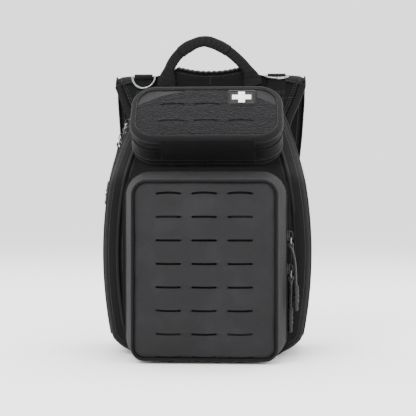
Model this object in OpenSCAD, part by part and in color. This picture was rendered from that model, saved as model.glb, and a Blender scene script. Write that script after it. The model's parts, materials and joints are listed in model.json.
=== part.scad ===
// Trauma backpack: a soft zip-round pack with a laser-cut webbing grid on its front.
// Millimetres. +Z up, front faces -Y, +X to the right seen from the front.
// The origin is on the floor under the middle of the base.

/* [Body] */
// Half the width of the main body at its widest
body_half = 118; // [100:1:140]
// Height of the main body
body_top = 305; // [280:1:340]
// Main front panel plane (Y)
front_y = -42; // [-60:1:-30]
// Outer face of the back panel (Y)
back_y = 60; // [45:1:80]
// Height where the front starts to lean back
knee_z = 200.7; // [180:0.1:220]
// Backward lean of the upper front (degrees)
lean = 38; // [25:1:50]
// Fabric and foam wall
wall = 3; // [2:0.5:6]
// Radius of the bottom corners seen from the front
corner_low = 48; // [20:1:70]
// Radius of the top arch corners seen from the front
corner_top = 90; // [50:1:100]
// Radius of the gentle bow of the sides seen from the front
side_bow = 480; // [350:10:900]

/* [Main zip] */
// Plane of the main zip (Y) on the straight sides
split_y = -24; // [-34:1:-10]
// Width of each zip half on the outside
zip_half = 4.2; // [3:0.1:8]

/* [Front pocket] */
// Face plane (Y)
pocket_y = -95; // [-110:1:-80]
// Half width of the face
pocket_half = 77.4; // [60:0.1:90]
// Top of the face
pocket_top = 195; // [170:1:210]
// Half width at the zip
pocket_rear_half = 89; // [80:0.5:100]
// Top at the zip
pocket_rear_top = 206; // [190:1:220]
// Underside of the pocket
pocket_low = 4; // [2:1:20]

/* [Webbing grid] */
// Row pitch of the cut slots of the face
row_pitch = 24.8; // [24:0.1:26]
// Row pitch of the cut slots of the pouch lid
lid_pitch = 25.4; // [24:0.1:26]
// Column pitch of the cut slots
col_pitch = 38.1; // [38:0.1:39]
// Length of a slot
slot_long = 27; // [24:0.5:30]
// Width of a slot
slot_wide = 2.4; // [1.5:0.1:4]

/* [Top pouch] */
// Width of the pouch
pouch_w = 170; // [140:1:190]
// Height of the pouch along the slope
pouch_h = 82; // [60:1:95]
// Depth of the pouch out of the slope
pouch_d = 42; // [30:1:55]
// Corner radius
pouch_r = 27; // [15:1:35]
// Where it starts up the slope
pouch_v = 18.7; // [10:0.1:30]
// Height of its zip over the slope
pouch_zip = 29; // [20:1:34]

/* [Handle] */
// Half the distance between the legs at their base
leg_x = 54; // [40:1:65]
// Height of the fold at the base of the legs
leg_z = 316; // [312:1:325]
// Top of the handle's centre line
handle_top = 371; // [350:0.5:390]
// How far the slack handle leans to the left
handle_lean = 7; // [0:0.5:15]

/* [Zip pulls] */
// Outer diameter of the wire ring
ring_od = 10; // [8:0.5:14]
// Wire diameter of the ring
ring_wire = 1.5; // [1:0.1:2]
// Cord diameter
cord_d = 2.3; // [1.5:0.1:3]
// Length of the moulded grip tip
tip_len = 28; // [18:1:36]

/* [Hidden] */
$fn = 48;

BLACK = "#26272a";
FACE = "#3a3b3e";
TAPE = "#1b1c1e";
STEEL = "#b9bdc2";

bow_z = 115;
split_lean = 34;
split_z = knee_z - 6.2;
zg = 0.25;
ring_r = (ring_od - ring_wire) / 2;

// ---- drawing helpers ----
module along_x(x0, x1) translate([x0, 0, 0]) rotate([90, 0, 90]) linear_extrude(x1 - x0) children();
module along_y(y0, y1) translate([0, y1, 0]) rotate([90, 0, 0]) linear_extrude(y1 - y0) children();
module both() { children(); mirror([1, 0, 0]) children(); }

// rounded rectangle between corners
module rr(x0, x1, y0, y1, r) {
  translate([x0 + r, y0]) square([x1 - x0 - 2 * r, y1 - y0]);
  translate([x0, y0 + r]) square([x1 - x0, y1 - y0 - 2 * r]);
  for (x = [x0 + r, x1 - r], y = [y0 + r, y1 - r]) translate([x, y]) circle(r);
}
// rounded rectangle with its own low and high radius
module rr2(x0, x1, y0, y1, rb, rt) intersection() {
  rr(x0, x1, y0, y1 + 200, rb);
  rr(x0, x1, y0 - 200, y1, rt);
}
// a band of given half-widths along a centre line in the plane
function unit2(v) = v / max(norm(v), 1e-6);
function tan2(p, i) = unit2(p[min(i + 1, len(p) - 1)] - p[max(i - 1, 0)]);
function nor2(p, i) = [-tan2(p, i)[1], tan2(p, i)[0]];
function band(p, w) = concat([for (i = [0:len(p) - 1]) p[i] + w[i] * nor2(p, i)],
  [for (i = [len(p) - 1:-1:0]) p[i] - w[i] * nor2(p, i)]);
// points of a smooth curve through hand-chosen ones
function cr(a, b, c, d, t) = 0.5 * (2 * b + (c - a) * t + (2 * a - 5 * b + 4 * c - d) * t * t
  + (3 * b - a - 3 * c + d) * t * t * t);
function smooth(p, n) = let(m = len(p) - 1) concat([for (i = [0:m - 1], k = [0:n - 1])
  cr(p[max(i - 1, 0)], p[i], p[i + 1], p[min(i + 2, m)], k / n)], [p[m]]);

// ---- main body envelope, drawn in by d ----
module front_outline(d) intersection() {
  rr2(-body_half + d, body_half - d, d, body_top - d, corner_low - d, corner_top - d);
  translate([side_bow - body_half, bow_z]) circle(side_bow - d, $fn = 200);
  translate([body_half - side_bow, bow_z]) circle(side_bow - d, $fn = 200);
}
module side_profile(d) polygon([[front_y + d, d], [front_y + d, knee_z - tan(lean / 2) * d],
  [front_y + (body_top - d - knee_z) * tan(lean) + d / cos(lean), body_top - d],
  [back_y - d, body_top - d], [back_y - d, d]]);
module plan_outline(d) intersection() {
  rr(-body_half + d, body_half - d, front_y + d, 200, 26 - d);
  rr(-body_half + d, body_half - d, -200, back_y - d, 20 - d);
}
module envelope(d) intersection() {
  along_y(front_y - 20, back_y + 20) front_outline(d);
  along_x(-body_half - 10, body_half + 10) side_profile(d);
  translate([0, 0, -10]) linear_extrude(body_top + 30) plan_outline(d);
}
module shell() difference() { envelope(0); envelope(wall); }

// the surface that the main zip lies in, moved d toward the front
function split(d) = let(k = split_z + tan(split_lean / 2) * d, y = split_y - d)
  [[y, -10], [y, k], [y + 160 * sin(split_lean), k + 160 * cos(split_lean)]];
module ahead(d) along_x(-140, 140) polygon(concat(split(d), [[-160, 340], [-160, -10]]));
module behind(d) along_x(-140, 140) polygon(concat(split(-d), [[140, 340], [140, -10]]));
module zip_zone(d0, d1) intersection() {
  along_x(-140, 140) polygon(concat(split(d0), [for (i = [2:-1:0]) split(d1)[i]]));
  translate([-140, -80, 22]) cube([280, 200, 320]);
}

// ---- rear half of the clamshell ----
module rear_shell(z0, z1) difference() {
  intersection() {
    envelope(0);
    behind(zg);
    translate([-140, -80, z0]) cube([280, 80 + back_y - wall, z1 - z0]);
  }
  envelope(wall);
  zip_zone(zg, -zip_half - zg);
}
module left_half() translate([-140, -100, -10]) cube([140, 220, 400]);

module side_panel() intersection() { rear_shell(32, 232); left_half(); }
module side_panel_left() color(BLACK) side_panel();
module side_panel_right() color(BLACK) mirror([1, 0, 0]) side_panel();
module base_panel() color(BLACK) rear_shell(-1, 32);
module top_panel() color(BLACK) rear_shell(232, 330);
module back_panel() color(BLACK) intersection() {
  envelope(0);
  translate([-140, back_y - wall, -5]) cube([280, wall, 330]);
}
module frame_sheet() color("#d8d8d2") along_y(back_y - wall - 2.3, back_y - wall - 0.3)
  rr(-88, 88, 24, 252, 22);
module back_pads() color("#2d2e31") {
  both() along_y(back_y, back_y + 12) rr(-92, -18, 96, 218, 16);
  along_y(back_y, back_y + 10) rr(-58, 58, 22, 84, 16);
}
module main_zip_rear() color(TAPE) difference() {
  intersection() { envelope(0.2); zip_zone(-zg, -zip_half - zg); }
  envelope(2.2);
}
module side_webbing() color(TAPE) for (z = [11.5, 62, 112.5, 163])
  difference() {
    intersection() {
      envelope(-1.5);
      translate([-140, -13, z]) cube([280, 58, 25]);
    }
    envelope(0);
  }
// documents sleeve inside the back, open at the top
module inner_sleeve() color("#4a4b4e") {
  difference() {
    translate([-90, 40, 14]) cube([180, 14, 176]);
    translate([-88, 41.6, 16]) cube([176, 20, 190]);
  }
  both() translate([-90, 54, 14]) cube([1.5, back_y - wall - 54, 176]);
}

// ---- yoke, straps and their webbing ----
yoke_half = [[66, 250], [84, 232], [95, 256], [99, 274], [108, 294], [117, 317], [98, 321.5],
  [75, 326.5], [58, 330], [48, 332], [40, 339.5], [22, 334.5]];
yoke_pts = concat([for (p = yoke_half) p], [[0, 333]],
  [for (i = [len(yoke_half) - 1:-1:0]) [-yoke_half[i][0], yoke_half[i][1]]]);
module yoke_collar() color(BLACK) {
  along_y(back_y, back_y + 4) polygon(yoke_pts);
  along_y(back_y + 4, back_y + 9) polygon([[-39, 318], [39, 318], [39, 338.6], [22, 334.5],
    [0, 333], [-22, 334.5], [-39, 338.6]]);
  // sewn feet of the handle, standing up from the top seam
  both() translate([leg_x - 11.5, back_y - 5.4, 307]) cube([23, 5.4, 7.3]);
}
strap_run = [[69, 262], [69.3, 300], [70.5, 313], [74, 323], [79.8, 327.5], [85.6, 323],
  [89, 313], [90.4, 300], [91, 250], [90.6, 190], [87.5, 130], [83, 98]];
strap_side = band(strap_run, [for (i = [0:len(strap_run) - 1]) 5]);
strap_front = [[-118, 336], [-117.5, 300], [-114.5, 256], [-110, 214], [-103, 166],
  [-99, 130], [-97, 94], [-58, 94], [-52, 130], [-46, 170], [-46, 214],
  [-52, 262], [-58, 300], [-60, 336]];
module strap() intersection() {
  along_x(-130, -30) polygon(strap_side);
  along_y(55, 110) polygon(strap_front);
}
module shoulder_strap_left() color(BLACK) strap();
module shoulder_strap_right() color(BLACK) mirror([1, 0, 0]) strap();

lock_x = 77.5;
module lock_plate() along_y(78.5, 83) difference() {
  rr(lock_x - 16.5, lock_x + 16.5, 62, 92.4, 3);
  translate([lock_x - 13.2, 67.5]) square([26.4, 6.6]);
  translate([lock_x - 13.2, 79]) square([26.4, 7]);
}
module ladder_locks() color("#151617") both() lock_plate();
module lower_webbing() color(TAPE) both() {
  // from the base seam up behind the lock, over its low bar and down as a free tail
  along_x(lock_x - 12.5, lock_x + 12.5) polygon(band([[60.9, 14], [60.9, 25], [68, 46],
    [76.2, 62], [76.9, 69.6], [80.7, 71.4], [84.6, 69.6], [85.6, 60], [87, 36]],
    [for (i = [0:8]) 0.9]));
  // short loop from the strap end round the top bar
  along_x(lock_x - 12.5, lock_x + 12.5) polygon(band([[82.4, 97.4], [76.8, 92], [76.6, 84],
    [80.7, 82.4], [84.9, 84.5], [84.9, 92], [84.4, 97.6]], [for (i = [0:6]) 0.8]));
}

// ---- D rings ----
dring_x = 82;
dring_z = 328;
dring_y = 56.4;
module d_ring() {
  translate([-15, 0, 0]) rotate([0, 90, 0]) cylinder(d = 2.8, h = 30);
  difference() {
    rotate([90, 0, 0]) rotate_extrude() translate([14, 0]) circle(d = 2.8, $fn = 24);
    translate([-30, -10, 0]) cube([60, 20, 30]);
  }
}
// the left one hangs, the right one lies tipped forward
module d_ring_left() color(STEEL) translate([-dring_x, dring_y, dring_z]) d_ring();
module d_ring_right() color(STEEL) translate([dring_x, dring_y, dring_z]) rotate([-70, 0, 0]) d_ring();
module d_ring_tabs() color(TAPE) both() translate([dring_x, 0, 0]) difference() {
  union() {
    translate([-11, dring_y, dring_z]) rotate([0, 90, 0]) cylinder(r = 3.2, h = 22);
    translate([-11, 58.3, 305]) cube([22, back_y - 58.3, dring_z + 2 - 305]);
  }
  translate([-12, dring_y, dring_z]) rotate([0, 90, 0]) cylinder(r = 1.75, h = 24);
}

// ---- front half of the clamshell ----
// the front skin and the lean above it, as a side view
skin_t = wall + 0.4;
skin = [[front_y - 1, -1], [front_y - 1, knee_z], [front_y - 1 + 130 * tan(lean), knee_z + 130],
  [front_y + 12 + 130 * tan(lean), knee_z + 130],
  [front_y + skin_t + (body_top - knee_z) * tan(lean), body_top - tan(lean / 2) * skin_t],
  [front_y + skin_t, knee_z - tan(lean / 2) * skin_t], [front_y + skin_t, -1]];
module main_front_panel() color(BLACK) intersection() {
  envelope(0);
  ahead(zg);
  along_x(-140, 140) polygon(skin);
}
module main_front_gusset() color(BLACK) difference() {
  intersection() { envelope(0); ahead(zg); }
  envelope(wall);
  zip_zone(-2, zip_half + zg);
  along_x(-141, 141) polygon(skin);
}
module main_zip_front() color(TAPE) difference() {
  intersection() { envelope(0.2); zip_zone(zg, zip_half + zg); }
  envelope(2.2);
  along_x(-141, 141) polygon(skin);
}

// ---- front pocket ----
pz = -47;
module pocket_rim(d) rr2(-pocket_rear_half + d, pocket_rear_half - d, pocket_low + d,
  pocket_rear_top - d, 20 - d, 28 - d);
module pocket_body(d, y0, y1) hull() {
  along_y(y1 - 0.5, y1) pocket_rim(d);
  along_y(y0, y0 + 0.5) rr2(-pocket_half + d, pocket_half - d, pocket_low + d,
    pocket_top - d, 13 - d / 2, 16 - d / 2);
}
module front_pocket_shell() color(BLACK) difference() {
  pocket_body(0, pocket_y + 1.8, pz - 3.2);
  pocket_body(2, pocket_y + 3.8, pz - 3.1);
}
function cell(r, c) = [(c - 1) * col_pitch, 7.4 + r * row_pitch];
module slot2d() {
  square([slot_long - slot_wide, slot_wide], center = true);
  for (s = [-1, 1]) translate([s * (slot_long - slot_wide) / 2, 0]) circle(d = slot_wide, $fn = 24);
}
module molle_face() color(FACE) along_y(pocket_y, pocket_y + 1.8) difference() {
  rr2(-pocket_half, pocket_half, pocket_low, pocket_top, 13, 16);
  for (r = [0:7], c = [0:2]) translate(cell(r, c)) slot2d();
}
module front_zip_moving() color(TAPE) along_y(pz - 3.2, pz - 0.3) difference() {
  pocket_rim(0);
  pocket_rim(2);
}
module front_zip_fixed() color(TAPE) along_y(pz + 0.3, front_y) difference() {
  pocket_rim(0);
  pocket_rim(2);
}

// ---- top pouch, in slope coordinates ----
module on_slope() translate([0, front_y, knee_z]) rotate([90 - lean, 0, 0]) children();
module pouch2d(d) rr(-pouch_w / 2 + d, pouch_w / 2 - d, pouch_v + d, pouch_v + pouch_h - d, pouch_r - d);
module pouch_ring(w0, w1, d, t) translate([0, 0, w0]) linear_extrude(w1 - w0)
  difference() { pouch2d(d); pouch2d(d + t); }
module top_pouch_tray() color(BLACK) on_slope() pouch_ring(0, pouch_zip - 5, 0, 2.5);
module top_zip_fixed() color(TAPE) on_slope() pouch_ring(pouch_zip - 5, pouch_zip - zg, 0.2, 2);
module top_zip_moving() color(TAPE) on_slope() pouch_ring(pouch_zip + zg, pouch_zip + 5, 0.2, 2);
module top_lid_shell() color(BLACK) on_slope() {
  pouch_ring(pouch_zip + 5, pouch_d - 3.6, 0, 2.5);
  translate([0, 0, pouch_d - 3.6]) linear_extrude(1.8) pouch2d(0);
}
module top_lid_face() color(FACE) on_slope() translate([0, 0, pouch_d - 1.8]) linear_extrude(1.8)
  difference() {
    pouch2d(0);
    for (r = [1:3], c = [0:2]) translate([(c - 1) * col_pitch, pouch_v + r * lid_pitch]) slot2d();
  }
module loop_panel() color("#1f2022") on_slope() translate([0, 0, pouch_d]) linear_extrude(0.8)
  difference() {
    intersection() {
      rr(-pouch_w / 2 + 5, pouch_w / 2 - 5, pouch_v + 4, pouch_v + pouch_h - 4, 22);
      translate([0, pouch_v - 66]) circle(140, $fn = 120);
    }
    for (r = [1:3], c = [0:2]) translate([(c - 1) * col_pitch, pouch_v + r * lid_pitch]) slot2d();
  }
patch_x = 39.4;
patch_v = pouch_v + 61;
module patch_base() color("#202123") on_slope() translate([0, 0, pouch_d + 0.8]) linear_extrude(2.2)
  rr(patch_x - 17, patch_x + 17, patch_v - 13, patch_v + 13, 3.5);
module patch_cross() color("#f2f2ee") on_slope() translate([patch_x, patch_v, pouch_d + 3])
  linear_extrude(0.8) { square([21.5, 6.6], center = true); square([7.4, 16.5], center = true); }

// ---- carry handle ----
hl = handle_lean;
handle_run = smooth([[-leg_x, leg_z], [-51.5, 333], [-38 - hl * 0.7, 350], [-21 - hl, handle_top - 7.5],
  [-hl, handle_top], [22 - hl, handle_top - 7.5], [38 - hl * 0.7, 350], [48, 333], [leg_x, leg_z]], 4);
// folded narrow in the grip, flat in the legs
function handle_w(x) = 6.6 + 4.9 * min(1, max(0, (abs(x + hl) - 26) / 14));
handle_y = back_y - 4.2;
module handle_web2d(e) polygon(band(handle_run, [for (p = handle_run) handle_w(p[0]) + e]));
module above_fold() translate([-100, leg_z]) square([200, 100]);
module handle_webbing() color(TAPE) along_y(handle_y - 1.3, handle_y + 1.3)
  intersection() { handle_web2d(0); above_fold(); }
module handle_grip() color(BLACK) difference() {
  along_y(handle_y - 3.6, handle_y + 3.6) intersection() {
    handle_web2d(0.9);
    translate([-29 - hl, leg_z]) square([58, 100]);
  }
  along_y(handle_y - 1.3, handle_y + 1.3) handle_web2d(0);
}

// ---- zip sliders and pulls ----
// a frame at p with Y along t and Z along n
module place(p, t, n) {
  x = cross(t, n);
  multmatrix([[x[0], t[0], n[0], p[0]], [x[1], t[1], n[1], p[1]], [x[2], t[2], n[2], p[2]]]) children();
}
// Slider frame: X across the zip, Y along it, Z out of the bag, origin on the tape.
module slider() {
  translate([-4.4, -6, 0.6]) cube([8.8, 12.5, 2.7]);
  difference() {
    translate([-0.8, -4.9, 3.2]) cube([1.6, 9.8, 4.2]);
    translate([-2, -3.7, 3.6]) cube([4, 7.4, 2.9]);
  }
}
// the ring hangs here in the slider's bridge
bridge = [0, -1.5, 5.05];
// Pull frame: hinge along X through the origin, it hangs toward -Y, Z points out.
module pull_ring() translate([0, -ring_r, 0]) rotate_extrude()
  translate([ring_r, 0]) circle(d = ring_wire, $fn = 24);
// The cord is one loop: up one side, through the ring, down the other. A route is a list of
// hand-chosen points [x, y, z] with the side [x, y, z] that its two strands stand apart to.
ring_low = -2 * ring_r;
function strand(r, s) = smooth(concat([[0, ring_low + 1.95, 0], [0, ring_low + 1.2, s * 1.6],
  [s * 0.4, ring_low - 0.4, s * 2.0]], [for (q = r) q[0] + s * q[1]]), 3);
function loop_run(r) = let(a = strand(r, 1), b = strand(r, -1), m = len(a) - 1)
  concat([for (i = [m:-1:0]) a[i]], [for (i = [1:m]) b[i]]);
function tang(p, i) = let(v = p[min(i + 1, len(p) - 1)] - p[max(i - 1, 0)]) v / norm(v);
function frames(p, i, a, out) = i == len(p) ? out
  : let(t = tang(p, i), g = a - t * (a * t), u = g / norm(g)) frames(p, i + 1, u, concat(out, [u]));
module tube(p, d, n) {
  m = len(p);
  us = frames(p, 0, cross(tang(p, 0), [0.1, 0.2, 1]), []);
  pts = [for (i = [0:m - 1], k = [0:n - 1]) let(u = us[i], v = cross(tang(p, i), u))
    p[i] + d / 2 * (u * cos(360 * k / n) + v * sin(360 * k / n))];
  sides = [for (i = [0:m - 2], k = [0:n - 1]) let(a = i * n + k, b = i * n + (k + 1) % n)
    [a, a + n, b + n, b]];
  ends = [[for (k = [0:n - 1]) k], [for (k = [n - 1:-1:0]) (m - 1) * n + k]];
  polyhedron(pts, concat([for (f = sides, h = [0, 1]) h == 0 ? [f[0], f[1], f[2]] : [f[0], f[2], f[3]]],
    [for (e = ends, k = [1:n - 2]) [e[0], e[k], e[k + 1]]]), convexity = 6);
}
module pull_cord(r) tube(loop_run(r), cord_d, 8);
// the grip starts at the last point of the route, runs along d and is widest along w
module pull_tip(r, d, w) place(r[len(r) - 1][0], -d, cross(w, -d)) translate([0, -0.05, 0])
  rotate([90, 0, 0]) linear_extrude(tip_len) rr(-3.9, 3.9, -2.9, 2.9, 2);

// Routes, in pull frames
S = [1.75, 0, 0];
route_front_hi = [[[-0.8, -12.5, 1.2], [1.5, 0, 0.8]], [[-4, -20, 3], S], [[-7.6, -29, 4.4], S],
  [[-9, -40, 5], S], [[-9.2, -53, 5.4], S]];
route_front_lo = [[[0, -12.5, 0.3], [1.5, 0, 0.8]], [[0, -19, 0.2], S], [[0.4, -28, 0], S],
  [[0.5, -41, -0.5], S]];
route_main_hi = [[[-0.4, -12.5, -0.9], [1.5, 0, 0.8]], [[-2, -21.5, -0.4], S], [[-3, -34, 0.2], S],
  [[-3.2, -45.5, 0.6], S], [[-3.2, -53.7, 0.6], S]];
route_main_lo = [[[0, -12.5, -0.9], [1.5, 0, 0.8]], [[0.6, -21.4, -0.5], S], [[1, -34, -0.1], S],
  [[1, -45.3, 0], S], [[1, -53.5, -0.3], S]];
// s = -1 bends to -X of the pull frame, +1 to +X
function route_top(s) = [[[s * 1.5, -12.5, -1.2], [1.2, -0.6, 0.5]], [[s * 7, -16.6, -2.6], [0.7, -1.5, 0]],
  [[s * 14, -18, -3], [0, -1.75, 0]], [[s * 20.5, -18.4, -2.6], [0, -1.75, 0]],
  [[s * 24.6, -18.5, 0], [0, -1.75, 0]], [[s * 25.4, -18.5, 5], [0, -1.75, 0]]];

// Where each slider stands: [point on the tape, along, out]
function bow(z) = sqrt(side_bow * side_bow - (z - bow_z) * (z - bow_z));
function half_at(z) = body_half - side_bow + bow(z);
function side_t(z) = let(v = [(z - bow_z) / bow(z), tan(split_lean), 1]) v / norm(v);
function side_n(z) = let(v = [-1, 0, (z - bow_z) / bow(z)]) v / norm(v);
function on_side(z) = [-half_at(z), split_y + (z - split_z) * tan(split_lean), z];
function slope(u, v, w) = [u, front_y + v * sin(lean) - w * cos(lean), knee_z + v * cos(lean) + w * sin(lean)];
up_slope = [0, sin(lean), cos(lean)];
off_slope = [0, -cos(lean), sin(lean)];
front_hi = [[pocket_rear_half, pz, 135], [0, 0, 1], [1, 0, 0]];
front_lo = [[pocket_rear_half, pz, 98], [0, 0, 1], [1, 0, 0]];
main_hi = [on_side(267), side_t(267), side_n(267)];
main_lo = [on_side(249), side_t(249), side_n(249)];
top_l = [slope(-2, pouch_v + pouch_h, pouch_zip), [1, 0, 0], up_slope];
top_r = [slope(18, pouch_v + pouch_h, pouch_zip), [-1, 0, 0], up_slope];

// in the slider's frame, and in the frame of a pull that hangs on it
module on(s) place(s[0], s[1], s[2]) children();
function pin(s) = s[0] + cross(s[1], s[2]) * bridge[0] + s[1] * bridge[1] + s[2] * bridge[2];
module hung(s, up, out) place(pin(s), up, out) children();
module front_hang(s) hung(s, [0, 0, 1], [1, 0, 0]) children();
// the side widens downward, so a pull that lies on it leans out as it hangs
pull_lean = 14;
module main_hang(s) hung(s, [sin(pull_lean), 0, cos(pull_lean)], [-cos(pull_lean), 0, sin(pull_lean)])
  children();
module top_hang(s) hung(s, s[1], s[2]) children();

module front_slider_upper() color(STEEL) on(front_hi) slider();
module front_slider_lower() color(STEEL) on(front_lo) slider();
module main_slider_upper() color(STEEL) on(main_hi) slider();
module main_slider_lower() color(STEEL) on(main_lo) slider();
module top_slider_left() color(STEEL) on(top_l) slider();
module top_slider_right() color(STEEL) on(top_r) slider();
module front_ring_upper() color(STEEL) front_hang(front_hi) pull_ring();
module front_ring_lower() color(STEEL) front_hang(front_lo) pull_ring();
module main_ring_upper() color(STEEL) main_hang(main_hi) pull_ring();
module main_ring_lower() color(STEEL) main_hang(main_lo) pull_ring();
module top_ring_left() color(STEEL) top_hang(top_l) pull_ring();
module top_ring_right() color(STEEL) top_hang(top_r) pull_ring();
module front_cord_upper() color(TAPE) front_hang(front_hi) pull_cord(route_front_hi);
module front_cord_lower() color(TAPE) front_hang(front_lo) pull_cord(route_front_lo);
module main_cord_upper() color(TAPE) main_hang(main_hi) pull_cord(route_main_hi);
module main_cord_lower() color(TAPE) main_hang(main_lo) pull_cord(route_main_lo);
module top_cord_left() color(TAPE) top_hang(top_l) pull_cord(route_top(-1));
module top_cord_right() color(TAPE) top_hang(top_r) pull_cord(route_top(1));
down = [0, -1, 0];
side = [1, 0, 0];
module front_tip_upper() color(TAPE) front_hang(front_hi) pull_tip(route_front_hi, down, side);
module front_tip_lower() color(TAPE) front_hang(front_lo) pull_tip(route_front_lo, down, side);
module main_tip_upper() color(TAPE) main_hang(main_hi)
  pull_tip(route_main_hi, [0, -cos(3.5), -sin(3.5)], side);
module main_tip_lower() color(TAPE) main_hang(main_lo)
  pull_tip(route_main_lo, [0, -cos(5.5), -sin(5.5)], side);
module top_tip_left() color(TAPE) top_hang(top_l) pull_tip(route_top(-1), [0, 0, 1], [0, 1, 0]);
module top_tip_right() color(TAPE) top_hang(top_r) pull_tip(route_top(1), [0, 0, 1], [0, 1, 0]);

back_panel();
back_pads();
frame_sheet();
side_panel_left();
side_panel_right();
base_panel();
top_panel();
side_webbing();
main_zip_rear();
inner_sleeve();
yoke_collar();
shoulder_strap_left();
shoulder_strap_right();
lower_webbing();
ladder_locks();
d_ring_tabs();
d_ring_left();
d_ring_right();
main_front_panel();
main_front_gusset();
main_zip_front();
front_zip_fixed();
top_pouch_tray();
top_zip_fixed();
front_pocket_shell();
molle_face();
front_zip_moving();
top_lid_shell();
top_lid_face();
loop_panel();
patch_base();
patch_cross();
top_zip_moving();
handle_webbing();
handle_grip();
front_slider_upper();
front_ring_upper();
front_cord_upper();
front_tip_upper();
front_slider_lower();
front_ring_lower();
front_cord_lower();
front_tip_lower();
main_slider_upper();
main_ring_upper();
main_cord_upper();
main_tip_upper();
main_slider_lower();
main_ring_lower();
main_cord_lower();
main_tip_lower();
top_slider_left();
top_ring_left();
top_cord_left();
top_tip_left();
top_slider_right();
top_ring_right();
top_cord_right();
top_tip_right();
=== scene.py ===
"""Trauma backpack: looks for the packed model, in metres, in the model's own frame."""

import json
import math

import bmesh
import bpy
from mathutils import Matrix, Vector, geometry, noise

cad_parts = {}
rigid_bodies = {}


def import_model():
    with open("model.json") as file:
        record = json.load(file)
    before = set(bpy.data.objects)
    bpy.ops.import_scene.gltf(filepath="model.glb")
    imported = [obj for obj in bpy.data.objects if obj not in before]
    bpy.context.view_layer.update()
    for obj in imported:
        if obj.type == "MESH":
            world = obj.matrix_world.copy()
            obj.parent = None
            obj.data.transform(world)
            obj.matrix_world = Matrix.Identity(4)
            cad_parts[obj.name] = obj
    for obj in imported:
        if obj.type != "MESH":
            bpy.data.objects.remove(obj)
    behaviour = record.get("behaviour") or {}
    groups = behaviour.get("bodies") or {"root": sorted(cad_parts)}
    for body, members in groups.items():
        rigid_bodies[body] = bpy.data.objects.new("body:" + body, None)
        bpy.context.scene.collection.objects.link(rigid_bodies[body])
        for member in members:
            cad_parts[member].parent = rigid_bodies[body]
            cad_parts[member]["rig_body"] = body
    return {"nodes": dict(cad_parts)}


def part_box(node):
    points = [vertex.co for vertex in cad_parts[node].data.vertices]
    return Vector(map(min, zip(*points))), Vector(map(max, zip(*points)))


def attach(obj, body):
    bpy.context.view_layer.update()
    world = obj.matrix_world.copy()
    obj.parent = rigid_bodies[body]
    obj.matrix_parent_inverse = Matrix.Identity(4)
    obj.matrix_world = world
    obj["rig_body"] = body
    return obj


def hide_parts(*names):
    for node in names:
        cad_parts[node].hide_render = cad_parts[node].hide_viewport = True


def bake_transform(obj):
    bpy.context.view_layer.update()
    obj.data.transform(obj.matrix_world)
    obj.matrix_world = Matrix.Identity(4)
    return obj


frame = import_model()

bl_info = {
    "name": "Trauma backpack",
    "version": (1, 0, 0),
    "blender": (4, 5, 0),
    "location": "3D View > Sidebar > Backpack",
    "description": "Soft zip-round medical backpack with a webbing-grid front",
    "category": "Add Mesh",
}

MM = 0.001


def node_mm(name):
    """A CAD node's lowest and highest corners, in millimetres."""
    return [[c / MM for c in corner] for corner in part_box(name)]


# ---- sizes the pieces share, in millimetres ----

LEAN = math.radians(38)  # the upper front leans back by this
FACE_LOW = node_mm("molle_face")[0]
FRONT_Y = node_mm("front_zip_fixed")[1][1]  # plane of the main front wall
KNEE_Z = 200.7  # the front wall starts to lean here
SPLIT_Y, SPLIT_Z = -24.0, KNEE_Z - 6.2  # the main zip is upright up to SPLIT_Z, then leans back
SPLIT_LEAN = math.radians(34)
BACK_Y = node_mm("back_panel")[1][1]
BODY_HALF = 118.0  # half the body's width, reached BOW_Z up
BODY_TOP = node_mm("back_panel")[1][2]
BOW_Z, BOW_R = 115.0, 480.0  # height and radius of the sides' outward bow
LOW_R, TOP_R = 48.0, 90.0  # the body's lower and upper corners
ROW, COL = 25.4, 38.1  # pitch of the cut slots on the lid
FACE_ROW, FACE_FOOT = 24.8, 7.4  # pitch of the rows on the pocket, and its lowest row
SLOT_L, SLOT_W = 27.0, 2.4  # a cut slot
POCKET_ZIP_Y = -47.0
POCKET_HALF = 77.4  # half the width of the pocket's face
POUCH_H, POUCH_D, POUCH_R = 82.0, 42.0, 27.0  # height up the slope, depth and corner
POUCH_V = 18.7  # the pouch's foot, up the slope from the knee
POUCH_ZIP = 29.0  # the pouch's zip, out of the slope
HANDLE_Y = 55.8  # plane of the carry handle
CORD_R = 1.15  # radius of the pull cords
GRIP_LEN = 28.0

# ---- small maths ----


def lerp(a, b, t):
    """Straight from a to b."""
    return a + (b - a) * t


def ease(t):
    """Smooth step from 0 to 1."""
    t = min(1.0, max(0.0, t))
    return t * t * (3 - 2 * t)


def rough(p, size, seed=0):
    """Smooth noise from -1 to 1 whose lumps are `size` millimetres across."""
    return noise.noise(Vector(p) / size + Vector((seed * 17.3, seed * 5.1, seed * 9.7)))


def crease(p, size, seed=0):
    """Thin valleys: 1 in the fold and 0 away from it."""
    return max(0.0, 1 - abs(rough(p, size, seed)) * 7)


def slope(u, v, w):
    """From the leaning front's own axes (across, up the slope, out of it)."""
    return Vector(
        (
            u,
            FRONT_Y + v * math.sin(LEAN) - w * math.cos(LEAN),
            KNEE_Z + v * math.cos(LEAN) + w * math.sin(LEAN),
        )
    )


UP_SLOPE = Vector((0, math.sin(LEAN), math.cos(LEAN)))
OFF_SLOPE = Vector((0, -math.cos(LEAN), math.sin(LEAN)))


def smooth_path(points, n, closed=False):
    """A curve through hand-chosen points, n steps a span."""
    p = [Vector(q) for q in points]
    m = len(p) if closed else len(p) - 1
    pick = (lambda i: p[i % len(p)]) if closed else (lambda i: p[min(max(i, 0), m)])
    out = []
    for i in range(m):
        a, b, c, d = (pick(i + k) for k in (-1, 0, 1, 2))
        for k in range(n):
            t = k / n
            out.append(
                0.5
                * (
                    2 * b
                    + (c - a) * t
                    + (2 * a - 5 * b + 4 * c - d) * t * t
                    + (3 * b - a - 3 * c + d) * t**3
                )
            )
    return out if closed else [*out, p[m]]


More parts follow.
